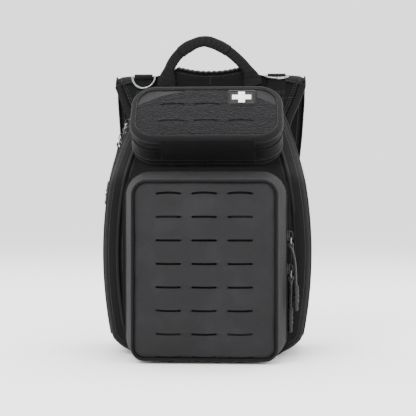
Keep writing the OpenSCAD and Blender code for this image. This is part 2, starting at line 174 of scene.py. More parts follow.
def rounded(x0, x1, z0, z1, low_r, top_r, side=24, corner=10):
    """A rounded rectangle as a loop of points with the same count for any size."""
    spots = [
        (x1 - low_r, z0 + low_r, low_r, -90),
        (x1 - top_r, z1 - top_r, top_r, 0),
        (x0 + top_r, z1 - top_r, top_r, 90),
        (x0 + low_r, z0 + low_r, low_r, 180),
    ]
    out = []
    for k, (cx, cz, r, a0) in enumerate(spots):
        for i in range(corner + 1):
            a = math.radians(a0 + 90 * i / corner)
            out.append((cx + r * math.cos(a), cz + r * math.sin(a)))
        nx, nz, nr, na = spots[(k + 1) % 4]
        end = (nx + nr * math.cos(math.radians(na)), nz + nr * math.sin(math.radians(na)))
        start = out[-1]
        out += [(lerp(start[0], end[0], i / side), lerp(start[1], end[1], i / side)) for i in range(1, side)]
    return out


def outward(loop):
    """Unit normals that point out of a counter-clockwise loop."""
    n = len(loop)
    out = []
    for i in range(n):
        (ax, az), (bx, bz) = loop[i - 1], loop[(i + 1) % n]
        d = math.hypot(bx - ax, bz - az) or 1
        out.append(((bz - az) / d, -(bx - ax) / d))
    return out


def inset(loop, d):
    """The loop drawn in by d."""
    return [(x - nx * d, z - nz * d) for (x, z), (nx, nz) in zip(loop, outward(loop))]


def inside(p, loop):
    """Whether a point lies inside a loop."""
    hit = False
    for (x1, y1), (x2, y2) in zip(loop, loop[1:] + loop[:1]):
        if (y1 > p[1]) != (y2 > p[1]) and p[0] < (x2 - x1) * (p[1] - y1) / (y2 - y1) + x1:
            hit = not hit
    return hit


def gap_to(p, loop):
    """Distance from a point to a loop."""
    best = 1e9
    for (x1, y1), (x2, y2) in zip(loop, loop[1:] + loop[:1]):
        dx, dy = x2 - x1, y2 - y1
        t = max(0, min(1, ((p[0] - x1) * dx + (p[1] - y1) * dy) / (dx * dx + dy * dy or 1)))
        best = min(best, (p[0] - x1 - t * dx) ** 2 + (p[1] - y1 - t * dy) ** 2)
    return math.sqrt(best)


# ---- materials ----


def linear(text):
    """sRGB hex to linear RGBA."""
    rgb = [int(text[i : i + 2], 16) / 255 for i in (1, 3, 5)]
    return (*[c / 12.92 if c < 0.04045 else ((c + 0.055) / 1.055) ** 2.4 for c in rgb], 1.0)


def add(tree, kind, settings=(), links=()):
    """A node with its settings and the links into it."""
    n = tree.nodes.new(kind)
    for key, value in dict(settings).items():
        if isinstance(key, int) or (isinstance(key, str) and key in n.inputs and not hasattr(n, key)):
            n.inputs[key].default_value = value
        else:
            setattr(n, key, value)
    for key, source in dict(links).items():
        tree.links.new(source, n.inputs[key])
    return n


def shader(name, color, roughness, **sockets):
    """A new material with a plain Principled surface and Object coordinates."""
    m = bpy.data.materials.new(name)
    m.use_nodes = True
    tree = m.node_tree
    bsdf = tree.nodes["Principled BSDF"]
    bsdf.inputs["Base Color"].default_value = linear(color)
    bsdf.inputs["Roughness"].default_value = roughness
    for key, value in sockets.items():
        bsdf.inputs[key.replace("_", " ")].default_value = value
    m.diffuse_color = linear(color)
    spot = add(tree, "ShaderNodeTexCoord").outputs["Object"]
    return m, tree, bsdf, spot


def tone(tree, bsdf, factor, dark, light):
    """Colour between two hexes by a factor."""
    mix = add(tree, "ShaderNodeMix", {"data_type": "RGBA"})
    mix.inputs[6].default_value, mix.inputs[7].default_value = linear(dark), linear(light)
    tree.links.new(factor, mix.inputs[0])
    tree.links.new(mix.outputs[2], bsdf.inputs["Base Color"])


def relief(tree, bsdf, height, depth_mm, strength=1.0, under=None):
    """Bumps the surface by a height, on top of another bump when one is given."""
    bump = add(tree, "ShaderNodeBump", {"Strength": strength, "Distance": depth_mm * MM}, {"Height": height})
    if under:
        tree.links.new(under.outputs["Normal"], bump.inputs["Normal"])
    tree.links.new(bump.outputs["Normal"], bsdf.inputs["Normal"])
    return bump


def flat_cloth_axes(tree, spot):
    """Two directions that run along the cloth on fronts and sides alike: across is x + y, up is z."""
    part = add(tree, "ShaderNodeSeparateXYZ", links={0: spot})
    across = add(tree, "ShaderNodeMath", {"operation": "ADD"}, {0: part.outputs["X"], 1: part.outputs["Y"]})
    up = add(
        tree,
        "ShaderNodeMath",
        {"operation": "MULTIPLY_ADD", 1: 0.4},
        {0: part.outputs["Y"], 2: part.outputs["Z"]},
    )
    return add(tree, "ShaderNodeCombineXYZ", links={"X": across.outputs[0], "Y": up.outputs[0]}).outputs[0]


def threads(tree, axes, pitch_mm, direction, wobble=0.6):
    """Thread bands at a real spacing."""
    return add(
        tree,
        "ShaderNodeTexWave",
        {
            "wave_type": "BANDS",
            "bands_direction": direction,
            "Scale": math.pi / 10 / (pitch_mm * MM),
            "Distortion": wobble,
            "Detail": 1.0,
            "Detail Scale": 1.5,
        },
        {"Vector": axes},
    ).outputs["Fac"]


def blotches(tree, spot, size_mm, detail=3.0, roughness=0.55):
    """Soft noise of a size in millimetres."""
    return add(
        tree,
        "ShaderNodeTexNoise",
        {"Scale": 1 / (size_mm * MM), "Detail": detail, "Roughness": roughness},
        {"Vector": spot},
    ).outputs["Fac"]


def mixed(tree, a, b, how="MULTIPLY"):
    """Two values through one Math node."""
    return add(tree, "ShaderNodeMath", {"operation": how}, {0: a, 1: b}).outputs[0]


def scaled(tree, value, low, high, to_low=0.0, to_high=1.0):
    """A value moved from one range to another."""
    return add(
        tree,
        "ShaderNodeMapRange",
        {"From Min": low, "From Max": high, "To Min": to_low, "To Max": to_high},
        {"Value": value},
    ).outputs[0]


def woven_nylon(name, dark, light, pitch_mm, bump_mm, roughness=0.72, coat=0.0):
    """Textured nylon: plain weave of thick yarn with a polyurethane back, so dull with a faint sheen
    on the crowns of the yarn. The yarn is 0.6 mm in the real cloth and is drawn coarser to show."""
    m, tree, bsdf, spot = shader(
        name, dark, roughness, Sheen_Weight=0.04, Sheen_Roughness=0.45, Specular_IOR_Level=0.12,
        Coat_Weight=coat
    )
    axes = flat_cloth_axes(tree, spot)
    weave = mixed(tree, threads(tree, axes, pitch_mm, "X"), threads(tree, axes, pitch_mm, "Y"))
    patches = blotches(tree, spot, 38)
    fuzz = blotches(tree, spot, 1.6, 2)
    shade = mixed(tree, mixed(tree, weave, fuzz, "ADD"), patches)
    tone(tree, bsdf, scaled(tree, shade, 0.15, 0.95), dark, light)
    tree.links.new(
        scaled(tree, patches, 0.3, 0.7, roughness - 0.06, roughness + 0.08), bsdf.inputs["Roughness"]
    )
    relief(tree, bsdf, mixed(tree, weave, fuzz, "ADD"), bump_mm)
    return m


def laser_laminate(name, dark, light):
    """Laser-cut laminate: two layers of 500-denier nylon glued to a film. Smoother and stiffer than the
    body cloth, a shade greyer, with a fine pebbled face and a few pressed creases."""
    m, tree, bsdf, spot = shader(
        name, dark, 0.58, Sheen_Weight=0.03, Sheen_Roughness=0.4, Specular_IOR_Level=0.22
    )
    axes = flat_cloth_axes(tree, spot)
    pebble = blotches(tree, spot, 1.1, 2)
    weave = mixed(tree, threads(tree, axes, 0.9, "X", 0.3), threads(tree, axes, 0.9, "Y", 0.3))
    patches = blotches(tree, spot, 55, 4)
    scuff = scaled(tree, blotches(tree, spot, 40, 3, 0.6), 0.5, 0.75)
    factor = mixed(
        tree, mixed(tree, patches, mixed(tree, weave, pebble, "ADD")), mixed(tree, scuff, patches), "ADD"
    )
    tone(tree, bsdf, scaled(tree, factor, 0.2, 1.0), dark, light)
    tree.links.new(scaled(tree, patches, 0.3, 0.7, 0.52, 0.66), bsdf.inputs["Roughness"])
    relief(tree, bsdf, mixed(tree, mixed(tree, weave, pebble, "ADD"), patches, "ADD"), 0.16)
    return m


def ribbed_tape(name, dark, light, rib_mm, bump_mm, roughness=0.7, direction="X"):
    """Woven polyester tape: ribs run across it, edges are tight. The 0.8 mm rib is drawn as it is."""
    m, tree, bsdf, spot = shader(
        name, dark, roughness, Sheen_Weight=0.04, Sheen_Roughness=0.5, Specular_IOR_Level=0.12
    )
    uv = add(tree, "ShaderNodeUVMap", {"uv_map": "along"}).outputs["UV"]
    ribs = threads(tree, uv, rib_mm, direction, 0.2)
    cross = threads(tree, uv, rib_mm * 2.2, "DIAGONAL", 0.4)
    fuzz = blotches(tree, spot, 2.2, 3)
    tone(tree, bsdf, mixed(tree, mixed(tree, ribs, cross, "ADD"), fuzz), dark, light)
    relief(tree, bsdf, mixed(tree, ribs, mixed(tree, cross, fuzz), "ADD"), bump_mm)
    return m


def loop_pile(name, dark, light):
    """Loop side of hook-and-loop: a mat of tiny nylon loops, so it drinks light and shows soft tufts
    about 1 mm across, drawn at twice that to show."""
    m, tree, bsdf, spot = shader(
        name, dark, 0.95, Sheen_Weight=0.05, Sheen_Roughness=0.6, Specular_IOR_Level=0.1
    )
    tufts = add(tree, "ShaderNodeTexVoronoi", {"Scale": 1 / (2.2 * MM)}, {"Vector": spot}).outputs["Distance"]
    fuzz = blotches(tree, spot, 3.4, 6, 0.8)
    tone(tree, bsdf, scaled(tree, mixed(tree, tufts, fuzz, "ADD"), 0.5, 1.25), dark, light)
    relief(tree, bsdf, mixed(tree, tufts, fuzz, "ADD"), 1.1)
    return m


def knitted_spacer(name, dark, light):
    """Spacer mesh on the back pads: hexagonal holes about 3 mm apart over foam."""
    m, tree, bsdf, spot = shader(
        name, dark, 0.85, Sheen_Weight=0.3, Sheen_Roughness=0.5, Specular_IOR_Level=0.2
    )
    cells = add(
        tree, "ShaderNodeTexVoronoi",
        {"feature": "DISTANCE_TO_EDGE", "Scale": 1 / (3.0 * MM), "Randomness": 0.35}, {"Vector": spot},
    )
    factor = scaled(tree, cells.outputs["Distance"], 0.05, 0.4)
    # painted shade: the middles of the sunken holes are coloured darker than the strands round them
    tone(tree, bsdf, factor, light, dark)
    relief(tree, bsdf, mixed(tree, factor, blotches(tree, spot, 1.0, 2)), -0.5)
    return m


def moulded(name, dark, light, roughness, grain_mm, bump_mm, **sockets):
    """Moulded plastic or rubber: spark-eroded grain, a little lighter where it has rubbed."""
    m, tree, bsdf, spot = shader(name, dark, roughness, **sockets)
    grain = blotches(tree, spot, grain_mm, 2)
    rub = blotches(tree, spot, 7, 4)
    tone(tree, bsdf, scaled(tree, rub, 0.35, 0.75), dark, light)
    tree.links.new(scaled(tree, rub, 0.3, 0.7, roughness - 0.08, roughness + 0.08), bsdf.inputs["Roughness"])
    relief(tree, bsdf, grain, bump_mm)
    return m


def drawn_steel(name, dark, light, roughness=0.28):
    """Nickel-plated steel wire: bright, with fine drawing marks and dulled spots."""
    m, tree, bsdf, spot = shader(name, light, roughness, Metallic=1.0)
    marks = blotches(tree, spot, 2.5, 5, 0.7)
    tone(tree, bsdf, scaled(tree, marks, 0.3, 0.8), dark, light)
    tree.links.new(scaled(tree, marks, 0.3, 0.7, roughness - 0.1, roughness + 0.15), bsdf.inputs["Roughness"])
    relief(tree, bsdf, blotches(tree, spot, 0.6, 2), 0.02)
    return m


def painted_zinc(name, dark, light):
    """Die-cast zinc slider under black enamel, worn to metal grey on its edges."""
    m, tree, bsdf, spot = shader(name, dark, 0.38, Metallic=0.55, Coat_Weight=0.3, Coat_Roughness=0.25)
    worn = scaled(tree, blotches(tree, spot, 1.5, 5, 0.7), 0.55, 0.75)
    tone(tree, bsdf, worn, dark, light)
    relief(tree, bsdf, blotches(tree, spot, 0.5, 2), 0.03)
    return m


def braided_cord(name, dark, light):
    """Braided nylon cord: two sets of strands that cross every 1.6 mm."""
    m, tree, bsdf, spot = shader(name, dark, 0.6, Sheen_Weight=0.3, Specular_IOR_Level=0.4)
    lay = mixed(tree, threads(tree, spot, 1.6, "DIAGONAL", 1.5), blotches(tree, spot, 1.2, 2))
    tone(tree, bsdf, lay, dark, light)
    relief(tree, bsdf, lay, 0.25)
    return m


def sewing_thread(name, dark, light):
    """Bonded nylon thread: slightly glossy twist."""
    m, tree, bsdf, spot = shader(name, dark, 0.5, Sheen_Weight=0.2)
    tone(tree, bsdf, blotches(tree, spot, 1.0, 2), dark, light)
    return m


def studio_paper(name, tint):
    """Matt white backdrop paper: dull and even, so that nothing shows in it."""
    return shader(name, tint, 0.9, Specular_IOR_Level=0.1)[0]


FINISH = {}


def make_finishes(p):
    """Every finish, by the name that the pieces use."""
    FINISH.update(
        nylon=woven_nylon("textured_nylon", p.cloth_dark, p.cloth_light, 1.0, 0.22),
        lining=woven_nylon("ripstop_lining", "#2b2c2f", "#3c3e42", 1.4, 0.1, 0.62),
        laminate=laser_laminate("laser_cut_laminate", p.face_dark, p.face_light),
        webbing=ribbed_tape("woven_webbing", "#050506", "#121214", 1.25, 0.22),
        binding=ribbed_tape("binding_tape", "#040405", "#101012", 0.9, 0.16),
        zip_tape=ribbed_tape("zip_tape", "#030304", "#0c0c0e", 0.8, 0.12),
        coil=moulded("zip_coil_nylon", "#0c0d0e", "#1c1d1f", 0.42, 0.5, 0.03),
        loop=loop_pile("loop_pile", "#020203", "#161618"),
        pad=knitted_spacer("spacer_mesh", "#0e0f10", "#212225"),
        thread=sewing_thread("sewing_thread", "#0d0e10", "#26272a"),
        steel=drawn_steel("plated_steel_wire", "#5c5e61", "#b4b6b9"),
        slider=painted_zinc("enamelled_zinc", "#111214", "#56585c"),
        cord=braided_cord("braided_cord", "#0b0b0d", "#222326"),
        rubber=moulded("moulded_rubber", "#0a0a0c", "#1a1b1d", 0.62, 0.5, 0.06, Specular_IOR_Level=0.4),
        plastic=moulded("acetal_plastic", "#0f1011", "#26272a", 0.45, 0.6, 0.05),
        patch=moulded("patch_rubber", "#030304", "#090a0b", 0.5, 0.4, 0.03, Specular_IOR_Level=0.2),
        white=moulded("patch_white", "#e9e9e4", "#f6f6f2", 0.6, 0.4, 0.04),
        sheet=moulded("frame_sheet", "#c9cac6", "#d9dad6", 0.5, 0.8, 0.05),
        paper=studio_paper("backdrop_paper", "#ffffff"),
    )


# ---- meshes ----


def put(name, verts, faces, finish, body, slot, replaces=(), smooth=True, uv=None, angle=40):
    """A finished piece from millimetre points: material, body and slot."""
    me = bpy.data.meshes.new(name)
    # what would reach under the floor is pressed flat on it
    me.from_pydata([Vector((v[0], v[1], max(v[2], 0.0))) * MM for v in verts], [], faces)
    me.validate()
    if uv:
        layer = me.uv_layers.new(name="along")
        for loop in me.loops:
            layer.data[loop.index].uv = uv[loop.vertex_index]
    me.materials.append(FINISH[finish])
    if smooth:
        me.shade_smooth()
        me.set_sharp_from_angle(angle=math.radians(angle))
    ob = bpy.data.objects.new(name, me)
    bpy.context.scene.collection.objects.link(ob)
    settle(ob, body, replaces)
    return ob


def settle(ob, body, replaces=()):
    """The body it rides on, its material slot and the CAD nodes it stands for."""
    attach(ob, body)
    if replaces:
        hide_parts(*replaces)


def turn_out(verts, faces):
    """Faces of a closed shape, turned to point out."""
    bm = bmesh.new()
    vs = [bm.verts.new(v) for v in verts]
    bm.verts.index_update()
    for f in faces:
        if len(set(f)) == len(f):
            try:
                bm.faces.new([vs[i] for i in f])
            except ValueError:
                pass
    bmesh.ops.recalc_face_normals(bm, faces=bm.faces)
    out = [[v.index for v in f.verts] for f in bm.faces]
    bm.free()
    return out


def grid_normals(P, wrap):
    """Unit normals at the points of a grid."""
    n, m = len(P), len(P[0])
    out = []
    for i in range(n):
        row = []
        for j in range(m):
            a = P[(i + 1) % n if wrap else min(i + 1, n - 1)][j] - P[i - 1 if (wrap or i) else 0][j]
            b = P[i][min(j + 1, m - 1)] - P[i][max(j - 1, 0)]
            c = a.cross(b)
            row.append(c.normalized() if c.length > 1e-9 else Vector((0, 0, 1)))
        out.append(row)
    return out


def sweep(path, outs, profile, closed=False):
    """A closed profile of (out, side) points carried along a path; `outs` points out of the surface.
    Returns points, faces and along-the-tape UVs in metres."""
    n, m = len(path), len(profile)
    verts, uv, run = [], [], 0.0
    for i, p in enumerate(path):
        t = (path[(i + 1) % n] if closed or i < n - 1 else p) - (path[i - 1] if closed or i else p)
        t.normalize()
        o = outs[i] - t * outs[i].dot(t)
        o.normalize()
        s = t.cross(o)
        if i:
            run += (p - path[i - 1]).length
        for a, b in profile:
            verts.append(p + o * a + s * b)
            uv.append((run * MM, b * MM))
    faces = []
    for i in range(n if closed else n - 1):
        for k in range(m):
            a, b = i * m + k, i * m + (k + 1) % m
            c = ((i + 1) % n) * m
            faces.append([a, c + k, c + (k + 1) % m, b])
    if not closed:
        faces += [list(range(m))[::-1], [(n - 1) * m + k for k in range(m)]]
    return verts, turn_out(verts, faces), uv


def ring_skin(rings):
    """Points and faces of a closed tube through rings of one count."""
    n, k = len(rings), len(rings[0])
    verts = [p for r in rings for p in r]
    faces = [
        [i * k + j, i * k + (j + 1) % k, (i + 1) * k + (j + 1) % k, (i + 1) * k + j]
        for i in range(n - 1)
        for j in range(k)
    ]
    faces += [list(range(k)), [(n - 1) * k + j for j in range(k)]]
    return verts, turn_out(verts, faces)


def tape_profile(width, height, bulge=0.35):
    """Cross-section of a folded tape: flat-bottomed with a soft crown."""
    h, w = height, width / 2
    return [
        (-0.3, -w), (h * (1 - bulge), -w), (h, -w * 0.55), (h * 1.02, 0), (h, w * 0.55), (h * (1 - bulge), w),
        (-0.3, w),
    ]


def flat_plate(outline, holes, spacing, near=0.9):
    """Triangles over an outline with holes cut, from a loose grid of inner points."""
    pts, edges = [], []
    for loop in [outline, *holes]:
        k = len(pts)
        pts += loop
        edges += [(k + i, k + (i + 1) % len(loop)) for i in range(len(loop))]
    xs, zs = [p[0] for p in outline], [p[1] for p in outline]
    boxes = [
        (min(p[0] for p in h), max(p[0] for p in h), min(p[1] for p in h), max(p[1] for p in h)) for h in holes
    ]
    z, odd = min(zs) + spacing / 2, 0
    while z < max(zs):
        x = min(xs) + spacing / 2 + (spacing / 2 if odd else 0)
        while x < max(xs):
            if inside((x, z), outline) and gap_to((x, z), outline) > near:
                if not any(a - near < x < b + near and c - near < z < d + near for a, b, c, d in boxes):
                    pts.append((x, z))
            x += spacing
        z += spacing * 0.87
        odd = 1 - odd
    res = geometry.delaunay_2d_cdt([Vector(p) for p in pts], edges, [], 0, 1e-5)
    verts = [(v.x, v.y) for v in res[0]]
    tris = []
    for f in res[2]:
        c = (sum(verts[i][0] for i in f) / len(f), sum(verts[i][1] for i in f) / len(f))
        if inside(c, outline) and not any(inside(c, h) for h in holes):
            tris.append(list(f))
    return verts, tris


def plate_solid(verts, tris, front, back):
    """A closed plate between two surfaces given as functions of the flat point."""
    n = len(verts)
    out = [front(*v) for v in verts] + [back(*v) for v in verts]
    count = {}
    for f in tris:
        for a, b in zip(f, f[1:] + f[:1]):
            count[(a, b)] = 1
    walls = [[a, b, b + n, a + n] for a, b in count if (b, a) not in count]
    faces = [list(f) for f in tris] + [[i + n for i in reversed(f)] for f in tris] + walls
    return out, turn_out(out, faces)


def slot_loop(cx, cz, bow=0.0, grow=0.0, n=6):
    """A cut slot with round ends; `bow` lifts its middle."""
    h, r = (SLOT_L - SLOT_W) / 2, SLOT_W / 2 + grow
    pts = []
    for s in (1, -1):
        for i in range(n + 1):
            a = math.radians(-90 + 180 * i / n + (0 if s > 0 else 180))
            pts.append((cx + s * h + r * math.cos(a), cz + r * math.sin(a)))
        pts += [(cx + s * h * (1 - 2 * k / 8), cz + s * r) for k in range(1, 8)]
    return [(x, z + bow * (1 - ((x - cx) / (h + r)) ** 2)) for x, z in pts]


# ---- rows of stitches, coils and bars, laid by Geometry Nodes ----

ROWS = {}  # (body, kind) to a list of (points, outs, closed)


def row(body, kind, points, outs, closed=False):
    """Notes a row of stitches, coil or bars; lay_rows makes them."""
    ROWS.setdefault((body, kind), []).append(([Vector(p) for p in points], [Vector(o) for o in outs], closed))


KINDS = {
    # spacing, length, width, height in mm, finish, slot, round
    "stitch": (3.1, 2.3, 0.62, 0.5, "thread", "nylon", True),
    "fine": (2.4, 1.8, 0.5, 0.4, "thread", "nylon", True),
    "coil": (1.7, 1.05, 2.3, 1.3, "coil", "zip_tape", True),
    "bartack": (0.75, 0.6, 3.4, 0.6, "thread", "webbing", True),
}


def trail_tree(name, finish, round_bit):
    """A node tree that lays one small bit after another along every edge chain of a mesh."""
    tree = bpy.data.node_groups.new(name, "GeometryNodeTree")
    face = tree.interface
    face.new_socket("Geometry", in_out="INPUT", socket_type="NodeSocketGeometry")
    for label in ("Spacing", "Length", "Width", "Height"):
        face.new_socket(label, in_out="INPUT", socket_type="NodeSocketFloat")
    face.new_socket("Geometry", in_out="OUTPUT", socket_type="NodeSocketGeometry")
    source = add(tree, "NodeGroupInput")
    get = source.outputs
    curve = add(tree, "GeometryNodeMeshToCurve", links={0: get["Geometry"]})
    cut = add(
        tree, "GeometryNodeResampleCurve", {"mode": "LENGTH"},
        {"Curve": curve.outputs[0], "Length": get["Spacing"]},
    )
    if round_bit:
        bit = add(tree, "GeometryNodeMeshUVSphere", {"Segments": 6, "Rings": 4, "Radius": 0.5})
    else:
        bit = add(tree, "GeometryNodeMeshCube")
    size = add(tree, "ShaderNodeCombineXYZ", links={"X": get["Length"], "Y": get["Width"], "Z": get["Height"]})
    shaped = add(tree, "GeometryNodeTransform", links={"Geometry": bit.outputs[0], "Scale": size.outputs[0]})
    tangent = add(tree, "GeometryNodeInputTangent")
    out = add(tree, "GeometryNodeInputNamedAttribute", {"data_type": "FLOAT_VECTOR", "Name": "out"})
    turn = add(tree, "FunctionNodeAlignRotationToVector", {"axis": "X"}, {"Vector": tangent.outputs[0]})
    roll = add(
        tree,
        "FunctionNodeAlignRotationToVector",
        {"axis": "Z", "pivot_axis": "X"},
        {"Rotation": turn.outputs[0], "Vector": out.outputs[0]},
    )
    laid = add(
        tree,
        "GeometryNodeInstanceOnPoints",
        links={"Points": cut.outputs[0], "Instance": shaped.outputs[0], "Rotation": roll.outputs[0]},
    )
    real = add(tree, "GeometryNodeRealizeInstances", links={0: laid.outputs[0]})
    painted = add(tree, "GeometryNodeSetMaterial", {"Material": FINISH[finish]}, {"Geometry": real.outputs[0]})
    add(tree, "NodeGroupOutput", links={0: painted.outputs[0]})
    return tree


def lay_rows():
    """Every row that the pieces asked for, as one mesh for each body and kind."""
    trees = {}
    for (body, kind), rows in sorted(ROWS.items()):
        spacing, length, width, height, finish, slot, round_bit = KINDS[kind]
        if kind not in trees:
            trees[kind] = trail_tree(f"trail_of_{kind}", finish, round_bit)
        verts, edges, outs = [], [], []
        for points, normals, closed in rows:
            k = len(verts)
            verts += [p * MM for p in points]
            outs += normals
            edges += [(k + i, k + i + 1) for i in range(len(points) - 1)]
            if closed:
                edges.append((k + len(points) - 1, k))
        me = bpy.data.meshes.new(f"{kind}_run")
        me.from_pydata(verts, edges, [])
        attr = me.attributes.new("out", "FLOAT_VECTOR", "POINT")
        attr.data.foreach_set("vector", [c for o in outs for c in o])
        base = bpy.data.objects.new(f"{kind}_run", me)
        bpy.context.scene.collection.objects.link(base)
        mod = base.modifiers.new("trail", "NODES")
        mod.node_group = trees[kind]
        for label, value in (("Spacing", spacing), ("Length", length), ("Width", width), ("Height", height)):
            mod[trees[kind].interface.items_tree[label].identifier] = value * MM
        got = bpy.data.meshes.new_from_object(base.evaluated_get(bpy.context.evaluated_depsgraph_get()))
        bpy.data.objects.remove(base)
        name = f"{kind}_rows_{body}"
        got.name = name
        got.materials.clear()
        got.materials.append(FINISH[finish])
        got.shade_smooth()
        ob = bpy.data.objects.new(name, got)
        bpy.context.scene.collection.objects.link(ob)
        settle(ob, body)


# ---- the bag's own surfaces ----


def past_outline(x, z):
    """How far a point lies outside the body as seen from the front."""
    a = abs(x)
    if z < 120:
        r, dx, dz = LOW_R, a - (BODY_HALF - LOW_R), LOW_R - z
    else:
        r, dx, dz = TOP_R, a - (BODY_HALF - TOP_R), z - (BODY_TOP - TOP_R)
    box = math.hypot(max(dx, 0), max(dz, 0)) + min(max(dx, dz), 0) - r
    return max(box, math.hypot(a + BOW_R - BODY_HALF, z - BOW_Z) - BOW_R)


RAYS = 176  # points round the body
_LOOPS = {}


def body_loop(d):
    """The body's outline drawn in by d, as points on fixed rays from its middle."""
    key = round(d, 3)
    if key not in _LOOPS:
        out = []
        for i in range(RAYS):
            a = math.tau * i / RAYS
            ca, sa = math.cos(a), math.sin(a)
            low, high = 1.0, 260.0
            for _ in range(24):
                mid = (low + high) / 2
                if past_outline(ca * mid, 140 + sa * mid) + d < 0:
                    low = mid
                else:
                    high = mid
            out.append((ca * low, 140 + sa * low))
        _LOOPS[key] = out
    return _LOOPS[key]


def zip_y(z):
    """Where the main zip runs at a height."""
    return SPLIT_Y + max(0.0, z - SPLIT_Z) * math.tan(SPLIT_LEAN)


def lean_y(z, soft=7.0):
    """The front wall: upright, then leaning back past a soft knee."""
    t = z - KNEE_Z
    return FRONT_Y + math.tan(LEAN) * (t + math.sqrt(t * t + soft * soft)) / 2 - 1.2 * math.exp(-t * t / 90)


def strip(rows):
    """Rings listed side by side turned into a grid for `wall`."""
    return [[rings[i] for rings in rows] for i in range(len(rows[0]))]


def wall(P, wrap, depth, centre, cap=False):
    """A grid of points made a closed wall `depth` thick, with tape UVs in metres. The side away from
    `centre` is the outside. With cap, the last ring is closed over."""
    n, m = len(P), len(P[0])
    N = grid_normals(P, wrap)
    mid = Vector(centre)
    total = sum(N[i][j].dot(P[i][j] - mid) for i in range(0, n, 3) for j in range(0, m, 2))
    sign = 1 if total >= 0 else -1
    k = n * m
    verts = [p for line in P for p in line] + [
        P[i][j] - N[i][j] * sign * depth for i in range(n) for j in range(m)
    ]
    run, uv = 0.0, []
    for i in range(n):
        if i:
            run += (P[i][0] - P[i - 1][0]).length
        side = 0.0
        for j in range(m):
            if j:
                side += (P[i][j] - P[i][j - 1]).length
            uv.append((run * MM, side * MM))
    uv += uv
    faces = []
    for i in range(n if wrap else n - 1):
        a = (i + 1) % n
        for j in range(m - 1):
            q = [i * m + j, a * m + j, a * m + j + 1, i * m + j + 1]
            faces += [q, [x + k for x in reversed(q)]]
        faces.append([i * m, i * m + k, a * m + k, a * m])
        if not cap:
            faces.append([i * m + m - 1, a * m + m - 1, a * m + m - 1 + k, i * m + m - 1 + k])
    if not wrap:
        for j in range(m - 1):
            faces += [[j, j + 1, j + 1 + k, j + k]]
            e = (n - 1) * m + j
            faces += [[e, e + k, e + 1 + k, e + 1]]
    if cap:
        faces += [[i * m + m - 1 for i in range(n)], [i * m + m - 1 + k for i in range(n)]]
    return verts, turn_out(verts, faces), uv


def put_wall(name, P, wrap, depth, centre, finish, body, slot, replaces=(), cap=False, angle=50):
    """A piece of cloth: a grid of points with a thickness."""
    verts, faces, uv = wall(P, wrap, depth, centre, cap)
    return put(name, verts, faces, finish, body, slot, replaces, uv=uv, angle=angle)


def tape(name, path, outs, width, height, finish, body, slot, closed=False, replaces=()):
    """A sewn tape or piping along a path."""
    verts, faces, uv = sweep(path, outs, tape_profile(width, height), closed)
    return put(name, verts, faces, finish, body, slot, replaces, uv=uv)


def out_of(loop, tilt=0.0):
    """Outward directions of a front-view loop, tipped toward the viewer."""
    return [Vector((nx, -tilt, nz)).normalized() for nx, nz in outward(loop)]


# ---- main body ----

MIDDLE = (0, 10, 140)  # a point well inside the body
BAND = 18.0  # how far the front wall's seam stands in from the sides


def cloth_sag(p, near_edge=1.0):
    """Soft dents and folds, always inward, fading at stiff seams."""
    return near_edge * (
        0.9 + 0.9 * rough(p, 52, 1) + 0.5 * rough(p, 19, 2) + 0.9 * crease(p, 70, 3) * max(0, rough(p, 40, 4))
    )


def body_point(i, d, y_of, sag=0.0):
    """A point on the body: ray i, drawn in by d, at the depth that y_of gives for its height."""
    x, z = body_loop(d)[i]
    p = Vector((x, y_of(z), z))
    if sag:
        s = cloth_sag(p, sag) * ease(z / 24)
        x2, z2 = body_loop(max(0.0, d + round(s * 2) / 2))[i]
        f = s * 2 - round(s * 2)
        p = Vector((lerp(x2, x2 * 0.996, f), y_of(z2), z2))
    return p


def build_rear_shell():
    """Back, sides, roof and base of the body, with the bound back seam."""
    rows = []
    for k in range(9):
        t = k / 8
        rows.append(
            [
                body_point(
                    i, 0.3, lambda z: lerp(zip_y(z) + 4.4, max(46.0, zip_y(z) + 5.5), t), math.sin(math.pi * t)
                )
                for i in range(RAYS)
            ]
        )
    for k in range(1, 7):
        a = math.radians(15 * k)
        rows.append(
            [
                body_point(
                    i, 0.3 + 13 * (1 - math.cos(a)),
                    lambda z: max(46 + (BACK_Y - 46) * math.sin(a), zip_y(z) + 5.5),
                )
                for i in range(RAYS)
            ]
        )
    for d in (20, 34, 60, 88):
        rows.append([body_point(i, d, lambda z: BACK_Y) for i in range(RAYS)])
    put_wall("rear_shell", strip(rows), True, 2.6, MIDDLE, "nylon", "pack_back", "nylon",
             ("back_panel", "side_panel_left", "side_panel_right", "base_panel", "top_panel"), cap=True)
    seam = body_loop(11.5)
    path = [Vector((x, max(57.0, zip_y(z) + 5), z)) for x, z in seam]
    outs = [Vector((o.x, 0.8, o.z)).normalized() for o in out_of(seam)]
    tape("rear_seam_binding", path, outs, 6, 2.0, "binding", "pack_back", "nylon", True)
    row("pack_back", "stitch", [p + o * 2.0 for p, o in zip(path, outs)], outs, True)


def above(loop, low):
    """The run of a front-view loop over a height, as indices in order round the top."""
    k = next(i for i in range(len(loop)) if loop[i][1] > low and loop[i - 1][1] <= low)
    order = [(k + i) % len(loop) for i in range(len(loop))]
    return [i for i in order if loop[i][1] > low]


